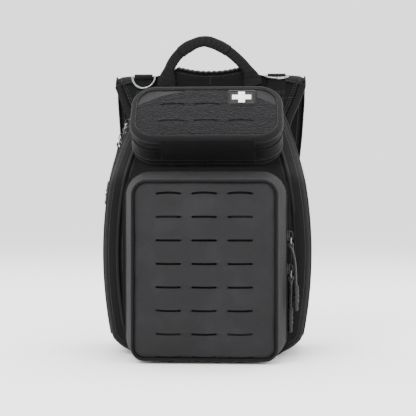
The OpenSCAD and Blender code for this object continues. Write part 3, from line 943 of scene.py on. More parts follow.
def build_main_zip():
    """Both halves of the long zip with their coils, and the cloth hinge at its foot."""
    edge = body_loop(0.5)
    keep = above(edge, 22)
    outs_all = out_of(edge)
    for side, body, slot, node in (
        (-1, "main_front", "zip_tape", "main_zip_front"), (1, "pack_back", "zip_tape", "main_zip_rear")
    ):
        P = [
            [
                Vector((edge[i][0], zip_y(edge[i][1]) + side * w, edge[i][1])) - outs_all[i] * dip
                for w, dip in ((0.35, 0.6), (2.4, 0.5), (4.9, 0.2))
            ]
            for i in keep
        ]
        put_wall(
            f"main_zip_tape_{'front' if side < 0 else 'rear'}", P, False, 0.8, MIDDLE, "zip_tape", body, slot,
            (node,),
        )
        path = [Vector((edge[i][0], zip_y(edge[i][1]) + side * 5.6, edge[i][1])) for i in keep]
        outs = [outs_all[i] for i in keep]
        tape(f"main_zip_lip_{'front' if side < 0 else 'rear'}", path, outs, 3.4, 1.0, "nylon", body, "nylon")
        row(
            body, "coil",
            [
                Vector((edge[i][0], zip_y(edge[i][1]) + side * 1.35, edge[i][1])) + outs_all[i] * 0.1
                for i in keep
            ],
            outs,
        )
        row(body, "fine", [p + o * 0.2 + Vector((0, side * 3.2, 0)) for p, o in zip(path, outs)], outs)
    low = [i for i in range(RAYS) if edge[i][1] <= 24]
    P = [
        [
            Vector((edge[i][0], SPLIT_Y + w, edge[i][1])) - outs_all[i] * (0.3 - 0.5 * math.cos(w / 7))
            for w in (-6, -4, -2, 0, 2, 4, 6)
        ]
        for i in low
    ]
    verts, faces, uv = wall(P, False, 1.4, MIDDLE)
    ob = put("foot_hinge", verts, faces, "nylon", "pack_back", "nylon", (), uv=uv)
    free(ob)
    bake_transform(ob)


def free(ob):
    """Lets go of a body before a blend."""
    ob.parent = None
    if "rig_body" in ob:
        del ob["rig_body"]


def build_main_front():
    """The front half's cover with its bound seam."""
    rows = []
    for k in range(9):
        a = math.radians(90 * k / 8)
        d = 0.6 + BAND * (1 - math.cos(a)) ** 1.15
        rows.append(
            [
                body_point(
                    i, d, lambda z: lerp(zip_y(z) - 4.6, lean_y(z), math.sin(a)), 0.35 if 1 < k < 7 else 0
                )
                for i in range(RAYS)
            ]
        )
    for d in (22, 28, 38, 52, 70, 90):
        rows.append(
            [
                body_point(i, d, lambda z: lean_y(z) + 0.6) + Vector(
                    (0, 0.5 * rough((i * 3, d * 2, 0), 30, 5), 0)
                )
                for i in range(RAYS)
            ]
        )
    put_wall("main_front_cover", strip(rows), True, 2.6, MIDDLE, "nylon", "main_front", "nylon",
             ("main_front_panel", "main_front_gusset"), cap=True)
    seam = body_loop(BAND + 0.4)
    # pressed flat where the pocket's pulls swing over it
    path = [
        Vector((x, lean_y(z) + 0.3 + 2.0 * (x > 0) * ease((z - 62) / 14) * ease((168 - z) / 14), z))
        for x, z in seam
    ]
    outs = [Vector((o.x * 0.75, -0.8, o.z * 0.75)).normalized() for o in out_of(seam)]
    tape("main_front_binding", path, outs, 4.6, 2.1, "binding", "main_front", "nylon", True)
    inner = body_loop(BAND + 5)
    row(
        "main_front", "stitch", [Vector((x, lean_y(z) + 0.25, z)) for x, z in inner],
        [Vector((0, -1, 0.2))] * RAYS, True,
    )
    outer = body_loop(BAND * 0.42)
    row(
        "main_front", "fine", [Vector((x, lerp(zip_y(z) - 4.6, lean_y(z), 0.83) - 0.4, z)) for x, z in outer],
        out_of(outer, 0.8), True,
    )


def build_side_webbing():
    """Four rows of webbing on each side, tacked into loops."""
    for n, low in enumerate((11.5, 62, 112.5, 163)):
        for s in (-1, 1):
            P = []
            for k in range(25):
                y = lerp(-13, 45, k / 24)
                lift = 1.2 + 0.9 * abs(math.sin(math.pi * k / 6))
                line = []
                for j in range(7):
                    z = low + 25 * j / 6
                    x = BODY_HALF
                    for _ in range(9):
                        x -= past_outline(x, z)
                    e = 0.5 * (1 - abs(j / 3 - 1) ** 4)
                    line.append(Vector((s * (x + lift + e - 0.5), y, z)))
                P.append(line)
            name = f"side_webbing_{'left' if s < 0 else 'right'}_{n + 1}"
            put_wall(
                name, P, False, 1.2, (0, 16, low + 12), "webbing", "pack_back", "webbing",
                ("side_webbing",) if n == 0 else (),
            )
            for k in (0, 6, 12, 18, 24):
                row(
                    "pack_back", "bartack", [p + Vector((s * 0.15, 0, 0)) for p in P[min(max(k, 1), 23)]],
                    [Vector((s, 0, 0))] * 7,
                )


# ---- front pocket ----


def face_y(x, z):
    """The laser-cut face: full in the middle, with pressed dents and creases."""
    u, v = x / POCKET_HALF, (z - 99.5) / 95.5
    full = max(0.0, 1 - abs(u) ** 2.6) * max(0.0, 1 - abs(v) ** 3.2)
    y = FACE_LOW[1] + 1.2 - 5.4 * full
    for cx, cz, size, depth in (
        (-66, 128, 15, 1.9), (68, 120, 14, 1.8), (-30, 168, 17, 1.3), (36, 152, 16, 1.2), (8, 128, 20, 0.9),
        (-24, 92, 22, 0.9), (40, 84, 20, 0.9), (-62, 52, 17, 1.5), (24, 40, 22, 1.0), (64, 36, 15, 1.5),
        (-50, 178, 12, 1.4), (54, 178, 12, 1.5), (-10, 66, 18, 0.8), (66, 72, 12, 1.0), (-68, 88, 12, 1.0),
    ):
        y += depth * math.exp(-((x - cx) ** 2 + (z - cz) ** 2) / size**2)
    p = (x, 0, z)
    return y + 0.8 * rough(p, 34, 6) + 0.4 * rough(p, 15, 7) + 1.0 * crease(
        (x + z * 0.4, 0, z - x * 0.5), 60, 8
    ) * max(0, rough(p, 30, 9))


def slot_at(r, c):
    """Middle of a slot on the pocket's face."""
    return (c - 1) * COL, FACE_FOOT + r * FACE_ROW


def build_pocket_face():
    """The cut face: dented, with slots whose lips lift a little."""
    edge = rounded(-76.6, 76.6, 4.6, 194.4, 12.4, 15.4)
    bows = (-0.9, -0.7, -0.5, -0.3, -0.2, 0.0, 0.35, 1.1)
    holes = [slot_loop(*slot_at(r, c), bow=bows[r]) for r in range(8) for c in range(3)]
    verts, tris = flat_plate(edge, holes, 3.0)
    lift = {}
    for x, z in verts:
        g = gap_to((x, z), edge)
        y = face_y(x, z) + 2.4 * max(0.0, 1 - g / 5.5) ** 2
        for r in range(8):
            sz = slot_at(r, 1)[1]
            dz = z - sz
            if abs(dz) < 9:
                near = max(0.0, 1 - ((abs(x) - 19) / 38) ** 4) if abs(x) < 57 else 0
                y -= 0.75 * near * math.exp(-((dz / 3.4) ** 2)) * (1 if dz > 0 else -0.7)
        lift[(x, z)] = y
    vv, ff = plate_solid(
        verts, tris, lambda x, z: Vector((x, lift[(x, z)], z)), lambda x, z: Vector((x, lift[(x, z)] + 1.3, z))
    )
    put("pocket_face", vv, ff, "laminate", "front_flap", "laminate", ("molle_face",), angle=55)


def pocket_ring(t):
    """The pocket's outline from its zip (0) to its face (1)."""
    full = 1.4 * math.sin(math.pi * t)
    half = lerp(89, POCKET_HALF, t**1.1) + full
    return rounded(-half, half, 4 - 0.2 * full, lerp(206, 195, t**1.1) + full, lerp(20, 13, t), lerp(28, 16, t))


def build_pocket_gusset():
    """The pocket's gusset and the lining behind its face, with the piping round it."""
    rows = []
    for k in range(13):
        t = k / 12
        y = lerp(-50.4, -92.6, t)
        loop = pocket_ring(t)
        n = outward(loop)
        ring = []
        for (x, z), (nx, nz) in zip(loop, n):
            sag = 0.9 * (rough((x, y, z), 26, 10) - 0.3) * math.sin(math.pi * t) if z > 12 else 0
            ring.append(Vector((x + nx * sag, y, max(2.4, z + nz * sag))))
        rows.append(ring)
    for d, back in ((2.0, 0.4), (6, 2.4), (16, 2.4), (34, 2.4), (56, 2.4)):
        rows.append([Vector((x, face_y(x, z) + back + 0.8, z)) for x, z in inset(pocket_ring(1), d)])
    put_wall(
        "pocket_gusset", strip(rows), True, 1.8, (0, -60, 100), "binding", "front_flap", "nylon",
        ("front_pocket_shell",), cap=True,
    )
    edge = pocket_ring(1)
    path = [Vector((x, -93.3, z)) for x, z in inset(edge, 0.6)]
    outs = out_of(edge, 0.9)
    tape("pocket_face_piping", path, outs, 3.4, 1.7, "binding", "front_flap", "nylon", True)
    for t, kind in ((0.86, "fine"), (0.1, "stitch")):
        loop = pocket_ring(t)
        row("front_flap", kind, [Vector((x, lerp(-50.4, -92.6, t), z)) for x, z in loop], out_of(loop), True)


def build_pocket_zip():
    """Both halves of the pocket's zip, its flange and the cloth hinge at its foot."""
    for side, body, node, y0, y1 in (
        (-1, "front_flap", "front_zip_moving", -47.35, -51.2),
        (1, "main_front", "front_zip_fixed", -46.65, -36.0),
    ):
        loop = rounded(-88.8, 88.8, 4.3, 205.8, 20, 28)
        n = outward(loop)
        P = [
            [
                Vector((x - nx * dip, y, z - nz * dip))
                for y, dip in ((y0, 0.8), (lerp(y0, y1, 0.4), 0.4), (lerp(y0, y1, 0.7), 0.1), (y1, 0.0))
            ]
            for (x, z), (nx, nz) in zip(loop, n)
        ]
        put_wall(
            f"pocket_zip_tape_{'moving' if side < 0 else 'fixed'}", P, True, 1.0, (0, y0, 100), "zip_tape",
            body, "zip_tape", (node,),
        )
        row(
            body, "coil",
            [
                Vector((x - nx * 0.2, POCKET_ZIP_Y + side * 1.35, z - nz * 0.2))
                for (x, z), (nx, nz) in zip(loop, n)
            ],
            out_of(loop), True,
        )
        lip = [Vector((x, POCKET_ZIP_Y + side * 5.2, z)) for x, z in loop]
        tape(
            f"pocket_zip_lip_{'moving' if side < 0 else 'fixed'}", lip, out_of(loop), 2.6, 1.1, "nylon", body,
            "nylon", True,
        )
    flange = rounded(-91, 91, 2.6, 208, 22, 30)
    row(
        "main_front", "stitch",
        [Vector((x, lean_y(z) - 0.7, z)) for x, z in rounded(-93.5, 93.5, 5, 211, 24, 32)],
        [Vector((0, -1, 0.1))] * len(flange), True,
    )
    tape(
        "pocket_flange", [Vector((x, lean_y(z) - 0.4, z)) for x, z in flange],
        [Vector((0, -1, 0))] * len(flange), 7, 1.0, "binding", "main_front", "nylon", True,
    )
    P = [
        [
            Vector((x, y, 2.6 + 0.25 * math.cos((y + 47) / 2.4)))
            for y in (-51.5, -50, -48.5, -47, -45.5, -44, -42.5)
        ]
        for x in range(-64, 65, 8)
    ]
    ob = put_wall("pocket_hinge", P, False, 1.0, (0, -47, 40), "nylon", "main_front", "nylon")
    free(ob)
    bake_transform(ob)


# ---- top pouch ----


def pouch_loop(d=0.0):
    """The pouch's outline on the slope, drawn in by d."""
    return rounded(
        -85 + d, 85 - d, POUCH_V + d, POUCH_V + POUCH_H - d, max(2.0, POUCH_R - d), max(2.0, POUCH_R - d), 22,
        12,
    )


def pouch_out(loop):
    """Outward directions of a pouch outline, in the slope's plane."""
    return [Vector((nx, nz * math.sin(LEAN), nz * math.cos(LEAN))) for nx, nz in outward(loop)]


def pouch_grid(steps, sag=0.0):
    """Rings round the pouch from (draw-in, height over the slope) pairs."""
    rows = []
    for d, w in steps:
        ring = []
        for u, v in pouch_loop(d):
            s = sag * rough((u, v, w), 22, 11)
            ring.append(slope(u * (1 + s * 0.004), v, w + s))
        rows.append(ring)
    return strip(rows)


def lid_top(u, v):
    """Height of the lid's face over the slope: a little full, a little uneven."""
    a, b = u / 85, (v - POUCH_V - POUCH_H / 2) / (POUCH_H / 2)
    full = max(0, 1 - abs(a) ** 3) * max(0, 1 - abs(b) ** 3)
    return POUCH_D - 0.6 + 2.0 * full + 0.45 * rough((u, 0, v), 27, 12) + 0.2 * rough((u, 0, v), 9, 13)


HEART = (0, -30, 262)  # a point well inside the pouch


def build_pouch():
    """The leaning pouch: tray, foot band, zip, lid, loop panel and cloth hinge."""
    put_wall(
        "pouch_tray", pouch_grid([(2, -3), (0.6, 0), (0, 6), (-0.5, 13), (-0.2, 19), (0.2, 24.2)], 0.3), True,
        2.2, HEART, "nylon", "main_front", "nylon", ("top_pouch_tray",),
    )
    band = pouch_grid([(1.2, -2.2), (-0.6, 0.4), (-1.2, 3), (-1.5, 6), (-1.3, 9.2), (-0.2, 10.8)])
    put_wall("pouch_foot_band", band, True, 1.2, HEART, "binding", "main_front", "nylon")
    for w in (2.2, 8.4):
        loop = pouch_loop(-1.6)
        row("main_front", "stitch", [slope(u, v, w) for u, v in loop], pouch_out(loop), True)
    for side, body, node in ((-1, "main_front", "top_zip_fixed"), (1, "top_lid", "top_zip_moving")):
        steps = [(0.9, POUCH_ZIP + side * 0.35), (0.7, POUCH_ZIP + side * 2.4), (0.1, POUCH_ZIP + side * 5.2)]
        put_wall(
            f"pouch_zip_tape_{'fixed' if side < 0 else 'moving'}", pouch_grid(steps), True, 0.9, HEART,
            "zip_tape", body, "zip_tape", (node,),
        )
        loop = pouch_loop(0.3)
        keep = [i for i, (u, v) in enumerate(loop) if not (v < POUCH_V + 1 and -50 < u < 54)]
        outs = pouch_out(loop)
        row(body, "coil", [slope(*loop[i], POUCH_ZIP + side * 1.35) for i in keep], [outs[i] for i in keep])
        lip = pouch_loop(-0.1)
        tape(
            f"pouch_zip_lip_{'fixed' if side < 0 else 'moving'}",
            [slope(u, v, POUCH_ZIP + side * 5.0) for u, v in lip], pouch_out(lip), 2.2, 0.9, "nylon", body,
            "nylon", True,
        )
    # lid: bound edge, cut face and the loop panel on it
    put_wall(
        "lid_edge_binding",
        pouch_grid(
            [
                (0.3, 33.8), (-0.8, 35.4), (-1.3, 38), (-0.8, 40.6), (0.8, 42.6), (3.2, 43.4), (5.6, 43.2),
                (7.2, 41.6),
            ],
            0.12,
        ),
        True, 1.0, HEART, "binding", "top_lid", "nylon", ("top_lid_shell",),
    )
    for d, w, kind in ((5.4, 43.3, "fine"), (-1.2, 37.0, "fine")):
        loop = pouch_loop(d)
        outs = [OFF_SLOPE] * len(loop) if d > 0 else pouch_out(loop)
        row("top_lid", kind, [slope(u, v, w) for u, v in loop], outs, True)
    edge = pouch_loop(4.4)
    holes = [slot_loop((c - 1) * COL, POUCH_V + 3 * ROW - 1.5, bow=0.8) for c in range(3)]
    verts, tris = flat_plate(edge, holes, 4.0)
    vv, ff = plate_solid(
        verts, tris, lambda u, v: slope(u, v, lid_top(u, v)), lambda u, v: slope(u, v, lid_top(u, v) - 1.6)
    )
    put("lid_face", vv, ff, "laminate", "top_lid", "laminate", ("top_lid_face",), angle=55)
    vv, ff = plate_solid(
        *flat_plate(pouch_loop(4.2), [], 9.0), lambda u, v: slope(u, v, lid_top(u, v) - 3.4),
        lambda u, v: slope(u, v, lid_top(u, v) - 4.6),
    )
    put("lid_lining", vv, ff, "lining", "top_lid", "nylon", ())
    # the panel's outline: the edge inset, cut off above by a wide arc
    shape = []
    for u, v in pouch_loop(6.4):
        top = POUCH_V - 66 + math.sqrt(140**2 - u * u)
        shape.append((u, min(v, top)))
    holes = [
        slot_loop((c - 1) * COL, POUCH_V + r * ROW, bow=1.2 if r == 2 else 0.9)
        for r in (1, 2)
        for c in range(3)
    ]
    verts, tris = flat_plate(shape, holes, 3.0)

    def pile(u, v):
        """A point of the loop pile, shaped by its rows of stitches."""
        near = 0.0
        for r in (1, 2):
            dv = v - POUCH_V - r * ROW
            near += math.exp(-((dv / 2.6) ** 2)) * (0.9 if dv > 0 else -0.5)
        ridge = 0.35 * math.exp(-(((v - POUCH_V - 62.5 + u * u / 300) / 1.6) ** 2))
        return slope(
            u, v, lid_top(u, v) + 1.3 + 0.6 * near * (abs(u) < 56) - ridge + 0.22 * rough((u, 0, v), 3.2, 14)
        )

    vv, ff = plate_solid(verts, tris, pile, lambda u, v: slope(u, v, lid_top(u, v) + 0.1))
    put("loop_field", vv, ff, "loop", "top_lid", "loop", ("loop_panel",), angle=60)
    # plain fabric hinge between tray and lid, stitched down at both ends
    P = [
        [
            slope(
                u, POUCH_V - 1.5 - 0.9 * math.sin(math.pi * j / 12) + 0.5 * rough((u, j, 0), 12, 15),
                lerp(41.4, 9.8, j / 12),
            )
            for j in range(13)
        ]
        for u in range(-52, 57, 4)
    ]
    verts, faces, uv = wall(P, False, 1.2, HEART)
    ob = put("lid_hinge", verts, faces, "nylon", "main_front", "nylon", (), uv=uv)
    free(ob)
    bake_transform(ob)
    down = Vector((0, -math.sin(LEAN), -math.cos(LEAN)))
    for u in (-50.3, 54.3):
        row("main_front", "fine", [slope(u, POUCH_V - 2.0, w) for w in (10, 14, 18, 22, 26)], [down] * 5)
        row("top_lid", "fine", [slope(u, POUCH_V - 2.0, w) for w in (32, 36, 40)], [down] * 3)
    tape(
        "foot_band_seam", [slope(0.5, POUCH_V - 2.6, w) for w in (0, 3, 6, 9, 10.4)], [down] * 5, 2.2, 0.9,
        "binding", "main_front", "nylon",
    )


def build_patch():
    """The raised patch: a moulded plate with a lifted rim."""
    pu, pv = 39.4, POUCH_V + 61

    def ring(d, w):
        """Outline of the plate drawn in by d, w above the lid."""
        return [
            slope(pu + u, pv + v, POUCH_D + w)
            for u, v in rounded(-17 + d, 17 - d, -13 + d, 13 - d, 3.5 - d * 0.5, 3.5 - d * 0.5, 4, 5)
        ]

    rows = [
        ring(*s)
        for s in (
            (0, -0.4), (-0.2, 0.9), (0.1, 2.0), (0.5, 2.4), (2.6, 3.5), (3.1, 3.55), (3.5, 3.1), (4.6, 3.1)
        )
    ]
    flat = strip(rows)
    verts = [p for line in flat for p in line]
    n, m = len(flat), len(rows)
    faces = [
        [i * m + j, ((i + 1) % n) * m + j, ((i + 1) % n) * m + j + 1, i * m + j + 1]
        for i in range(n)
        for j in range(m - 1)
    ]
    faces += [[i * m for i in range(n)], [i * m + m - 1 for i in range(n)]]
    put(
        "patch_plate", verts, turn_out(verts, faces), "patch", "top_lid", "patch_rubber", ("patch_base",),
        angle=28,
    )
    dress("patch_cross", "white")


def dress(node, finish):
    """A CAD node that keeps its shape gets its finish."""
    me = frame["nodes"][node].data
    me.materials.clear()
    me.materials.append(FINISH[finish])


# ---- handle, yoke, straps and back ----


def build_handle():
    """Carry handle: flat legs that fold into a round grip, on sewn feet."""
    hl = 7.0
    pts = [
        (-54, 316), (-51.5, 333), (-38 - hl * 0.7, 350), (-21 - hl, 363.5), (-hl, 371), (22 - hl, 363.5),
        (38 - hl * 0.7, 350), (48, 333), (54, 316),
    ]
    path = smooth_path([(x, HANDLE_Y, z) for x, z in pts], 8)
    n = len(path)

    def section(i, half, thick, bow, k=22):
        """One cross-section of the handle."""
        p = path[i]
        t = (path[min(i + 1, n - 1)] - path[max(i - 1, 0)]).normalized()
        s = Vector((t.z, 0, -t.x))
        ring = []
        for j in range(k):
            a = math.tau * j / k
            c, q = math.cos(a), math.sin(a)
            ring.append(
                p + s * (half * math.copysign(abs(c) ** 0.55, c)) + Vector((0, 1, 0)) * (
                    thick * math.copysign(abs(q) ** 0.7, q) + bow * (1 - c * c)
                )
            )
        return ring

    def body_of_rings(rings, name, finish, node):
        """Closes the sections into a piece, with the weave laid along it."""
        k = len(rings[0])
        verts, faces = ring_skin(rings)
        run, uv = 0.0, []
        for i, r in enumerate(rings):
            if i:
                run += (r[0] - rings[i - 1][0]).length
            uv += [(run * MM, j * 0.9 * MM) for j in range(k)]
        return put(
            name, verts, faces, finish, "carry_handle", "webbing" if node == "handle_webbing" else "nylon",
            (node,), uv=uv, angle=60,
        )

    rings = []
    for i in range(n):
        x = path[i].x + hl
        fold = ease((338 - path[i].z) / 18) * ease((abs(x) - 22) / 10)
        foot = ease((path[i].z - 316) / 10)
        half = lerp(6.4, 11.5, fold)
        rings.append(
            section(
                i, half * lerp(0.96, 1.0, foot), lerp(2.6, 1.25, fold), -0.8 * fold * math.sin(i * 0.5) * foot
            )
        )
    body_of_rings(rings, "handle_band", "webbing", "handle_webbing")
    rings = []
    inside_grip = [i for i in range(n) if -36.5 < path[i].x < 22.5]
    for q, i in enumerate(inside_grip):
        f = q / (len(inside_grip) - 1)
        puff = 1 + 0.03 * math.sin(f * 13) + 0.02 * math.sin(f * 31 + 1)
        rings.append(section(i, (6.9 + 0.3 * math.sin(f * 9)) * puff, 3.5 * puff, -0.5))
    body_of_rings(rings, "handle_fold", "webbing", "handle_grip")
    for s in (-1, 1):
        x0 = s * 54
        P = [
            [
                Vector(
                    (
                        x0 + u, 54.2 - 0.9 * math.cos(a) + 1.5 * math.sin(a) + (3.0 if a > 1.6 else 0) * 0.2,
                        lerp(308.5, 315.8, (1 - math.cos(a)) / 2),
                    )
                )
                for a in (0, 0.5, 1.0, 1.6, 2.2, 2.8, 3.14)
            ]
            for u in (-12, -8, -4, 0, 4, 8, 12)
        ]
        put_wall(
            f"handle_foot_{'left' if s < 0 else 'right'}", P, False, 1.6, (x0, 58, 313), "webbing", "pack_back",
            "webbing",
        )
        for k in (0, 1.5, 3):
            row(
                "pack_back", "fine",
                [Vector((x0 + u, 52.9 + 0.2 * k, 308.4 + k * 1.3)) for u in (-10, -5, 0, 5, 10)],
                [Vector((0, -1, 0))] * 5,
            )


YOKE = [
    (66, 250), (84, 232), (95, 256), (99, 274), (108, 294), (117, 317), (98, 321.5), (75, 326.5), (58, 330),
    (48, 332), (40, 339.5), (22, 334.5),
]


def build_yoke():
    """The yoke plate behind the handle with bound edges, and the padded collar."""
    outline = YOKE + [(0, 333)] + [(-x, z) for x, z in reversed(YOKE)]
    fine = [(p.x, p.z) for p in smooth_path([(x, 0, z) for x, z in outline], 4, True)]
    verts, tris = flat_plate(fine, [], 6.0)
    puff = {v: 1.4 * ease(gap_to(v, fine) / 12) + 0.5 * rough((v[0], 0, v[1]), 24, 16) for v in verts}
    vv, ff = plate_solid(
        verts, tris, lambda x, z: Vector((x, 60.6 - puff[(x, z)], z)), lambda x, z: Vector((x, 64.2, z))
    )
    put("yoke_plate", vv, ff, "nylon", "pack_back", "nylon", ("yoke_collar",), angle=55)
    for s in (-1, 1):
        side = [(s * x, z) for x, z in YOKE[1:6]]
        path = smooth_path([(x - s * 2.6, 59.4, z) for x, z in side], 5)
        tape(
            f"yoke_binding_{'left' if s < 0 else 'right'}", path, [Vector((0.25 * s, -1, 0))] * len(path), 7.5,
            1.9, "binding", "pack_back", "nylon",
        )
        for shift, kind in ((7.6, "stitch"), (10.4, "stitch")):
            row(
                "pack_back", kind, [p + Vector((-s * shift, -0.1, 0)) for p in path],
                [Vector((0, -1, 0))] * len(path),
            )
        top = smooth_path(
            [
                (s * 117, 61.4, 316.4), (s * 98, 61.2, 320.8), (s * 75, 61.2, 325.8), (s * 60, 61.2, 329),
                (s * 48, 61.2, 331.2),
            ],
            5,
        )
        tape(
            f"yoke_top_{'left' if s < 0 else 'right'}", top, [Vector((0, 0, 1))] * len(top), 5, 1.4, "binding",
            "pack_back", "nylon",
        )
        row(
            "pack_back", "fine", [Vector((s * 90, 59.2, z)) for z in (290, 298, 306, 314, 320)],
            [Vector((0, -1, 0))] * 5,
        )
        row(
            "pack_back", "fine", [Vector((s * x, 59.0, 300 + (x - 84) * 0.1)) for x in (84, 90, 96, 102, 107)],
            [Vector((0, -1, 0))] * 5,
        )
    rim = [
        (-39, 318), (39, 318), (40.5, 328), (39.5, 338.4), (22, 334.2), (0, 332.6), (-22, 334.2),
        (-39.5, 338.4), (-40.5, 328),
    ]
    fine = [(p.x, p.z) for p in smooth_path([(x, 0, z) for x, z in rim], 5, True)]
    verts, tris = flat_plate(fine, [], 4.0)
    swell = {v: 2.6 * ease(gap_to(v, fine) / 9) for v in verts}
    vv, ff = plate_solid(
        verts, tris, lambda x, z: Vector((x, 60.2 - swell[(x, z)] * 0.6, z)),
        lambda x, z: Vector((x, 66 + swell[(x, z)], z)),
    )
    put("collar_pad", vv, ff, "nylon", "pack_back", "nylon", (), angle=55)
    top = [
        (-39.5, 338.6), (-31, 336.8), (-22, 335.0), (-11, 333.7), (0, 333.4), (11, 333.7), (22, 335.0),
        (31, 336.8), (39.5, 338.6),
    ]
    path = [
        p + Vector((0, 0, 0.45 * math.sin(k * 1.7)))
        for k, p in enumerate(smooth_path([(x, 61.5, z) for x, z in top], 6))
    ]
    tape("collar_binding", path, [Vector((0, -0.35, 1))] * len(path), 8, 1.5, "binding", "pack_back", "nylon")
    row("pack_back", "fine", [p + Vector((0, -2.6, -5.4)) for p in path], [Vector((0, -1, 0.1))] * len(path))
    row("pack_back", "fine", [Vector((0.5, 57.9, z)) for z in (319, 322, 325, 328)], [Vector((0, -1, 0))] * 4)


STRAP_RUN = [
    (69, 262), (69.3, 300), (70.5, 313), (74, 323), (79.8, 327.5), (85.6, 323), (89, 313), (90.4, 300),
    (91, 250), (90.6, 190), (87.5, 130), (83, 98),
]


def reach(table, z):
    """Straight-line reading of a side outline at a height."""
    for (xa, za), (xb, zb) in zip(table, table[1:]):
        if za >= z >= zb:
            return lerp(xa, xb, (za - z) / (za - zb))
    return table[0][0] if z > table[0][1] else table[-1][0]


STRAP_OUT = [(118, 336), (117.5, 300), (114.5, 256), (110, 214), (103, 166), (99, 130), (97, 94)]
STRAP_IN = [(60, 336), (58, 300), (52, 262), (46, 214), (46, 170), (52, 130), (58, 94)]


def build_straps():
    """Two padded straps that rise from under the yoke, turn over and run down the back."""
    run = smooth_path([(0, y, z) for y, z in STRAP_RUN], 5)
    n = len(run)
    first_bend = max(range(n), key=lambda i: run[i].z)
    for s, label in ((-1, "left"), (1, "right")):
        rings, edge_out, edge_in, outs = [], [], [], []
        for i, p in enumerate(run):
            t = (run[min(i + 1, n - 1)] - run[max(i - 1, 0)]).normalized()
            off = Vector((0, -t.z, t.y)) * -1
            xo, xi = reach(STRAP_OUT, p.z), reach(STRAP_IN, p.z)
            if i < first_bend:  # the sewn end stays under the yoke
                xo = min(xo, reach([(x, z) for x, z in reversed(YOKE[1:6])], p.z) + 1)
            mid, half = (xo + xi) / 2, (xo - xi) / 2
            ring = []
            for j in range(26):
                a = math.tau * j / 26
                c, q = math.cos(a), math.sin(a)
                full = 4.7 * (1 - 0.55 * abs(c) ** 5) * (1 + 0.06 * rough((j * 4, i * 3, s * 9), 20, 17))
                ring.append(
                    Vector(
                        (s * (mid + half * math.copysign(abs(c) ** 0.62, c)), p.y, p.z)
                    ) + off * (full * math.copysign(abs(q) ** 0.8, q))
                )
            rings.append(ring)
            edge_out.append(Vector((s * (xo - 0.4), p.y, p.z)))
            edge_in.append(Vector((s * (xi + 0.4), p.y, p.z)))
            outs.append(off)
        ob = put(
            f"strap_{label}", *ring_skin(rings), "nylon", "pack_back", "nylon", (f"shoulder_strap_{label}",),
            angle=60,
        )
        for path, side, which in ((edge_out, s, "outer"), (edge_in, -s, "inner")):
            tape(
                f"strap_binding_{which}_{label}", path, [Vector((side, 0, 0))] * n, 7.4, 1.5, "binding",
                "pack_back", "nylon",
            )
            for face in (1, -1):
                row(
                    "pack_back", "stitch",
                    [p + Vector((-side * 6, 0, 0)) + o * 4.7 * face for p, o in zip(path, outs)],
                    [o * face for o in outs],
                )


def pillow(name, x0, x1, z0, z1, r, depth, grooves=()):
    """A padded mesh cushion with sewn channels and piping."""
    outline = rounded(x0, x1, z0, z1, r, r, 14, 8)
    verts, tris = flat_plate(outline, [], 4.5)
    high = {}
    for x, z in verts:
        g = gap_to((x, z), outline)
        h = depth * (1 - (1 - min(1, g / 11)) ** 2.4)
        for gz in grooves:
            h -= depth * 0.45 * math.exp(-(((z - gz) / 3.0) ** 2)) * min(1, g / 8)
        high[(x, z)] = max(0.6, h + 0.5 * rough((x, 0, z), 18, 18))
    vv, ff = plate_solid(
        verts, tris, lambda x, z: Vector((x, 60.2 + high[(x, z)], z)), lambda x, z: Vector((x, 59.6, z))
    )
    ob = put(
        name, vv, ff, "pad", "pack_back", "pad_mesh", ("back_pads",) if name == "back_pad_left" else (),
        angle=60,
    )
    path = [Vector((x, 60.8, z)) for x, z in outline]
    tape(
        f"{name}_piping", path, [Vector((o.x * 0.5, 1, o.z * 0.5)).normalized() for o in out_of(outline)], 4,
        1.6, "binding", "pack_back", "nylon", True,
    )


def build_back():
    """Pads, lower webbing in its locks, and the document sleeve before its stiff sheet."""
    pillow("back_pad_left", -92, -18, 96, 218, 16, 11.6, (127, 157, 187))
    pillow("back_pad_right", 18, 92, 96, 218, 16, 11.6, (127, 157, 187))
    pillow("lumbar_pad", -58, 58, 22, 84, 16, 9.6, (53,))
    for s, label in ((-1, "left"), (1, "right")):
        lower = [
            (60.9, 14), (60.9, 25), (68, 46), (76.2, 62), (76.9, 69.6), (80.7, 71.4), (84.6, 69.6), (85.6, 60),
            (87, 36),
        ]
        upper = [(82.4, 97.4), (76.8, 92), (76.6, 84), (80.7, 82.4), (84.9, 84.5), (84.9, 92), (84.4, 97.6)]
        for what, pts in (("lower_webbing", lower), ("lock_loop", upper)):
            path = smooth_path([(s * 77.5, y, z) for y, z in pts], 4)
            P = [[p + Vector((u, 0, 0)) for u in (-12.5, -12, -6, 0, 6, 12, 12.5)] for p in path]
            put_wall(
                f"{what}_{label}", P, False, 1.5, (s * 77.5, 78, 60), "webbing", "pack_back", "webbing",
                ("lower_webbing",) if what == "lower_webbing" and s < 0 else (),
            )
        row(
            "pack_back", "bartack", [Vector((s * 77.5 + u, 61.2, 20)) for u in (-11, -5, 0, 5, 11)],
            [Vector((0, 1, 0))] * 5,
        )
    dress("ladder_locks", "plastic")
    # lining: document sleeve with a bound mouth, and the stiff sheet behind it
    run = [
        (-89, 56.4), (-89, 48), (-88, 42.5), (-84, 41), (-60, 40.6), (-30, 41.2), (0, 40.7), (30, 41.2),
        (60, 40.6), (84, 41), (88, 42.5), (89, 48), (89, 56.4),
    ]
    P = [
        [Vector((x, y + 0.5 * rough((x, 0, z), 30, 19) * (y < 45), z)) for z in range(15, 191, 11)]
        for x, y in run
    ]
    put_wall("document_sleeve", P, False, 1.2, (0, 52, 100), "lining", "pack_back", "lining", ("inner_sleeve",))
    path = [Vector((x, y, 190.3)) for x, y in run]
    tape("sleeve_mouth", path, [Vector((0, 0, 1))] * len(path), 3.4, 1.3, "binding", "pack_back", "nylon")
    dress("frame_sheet", "sheet")


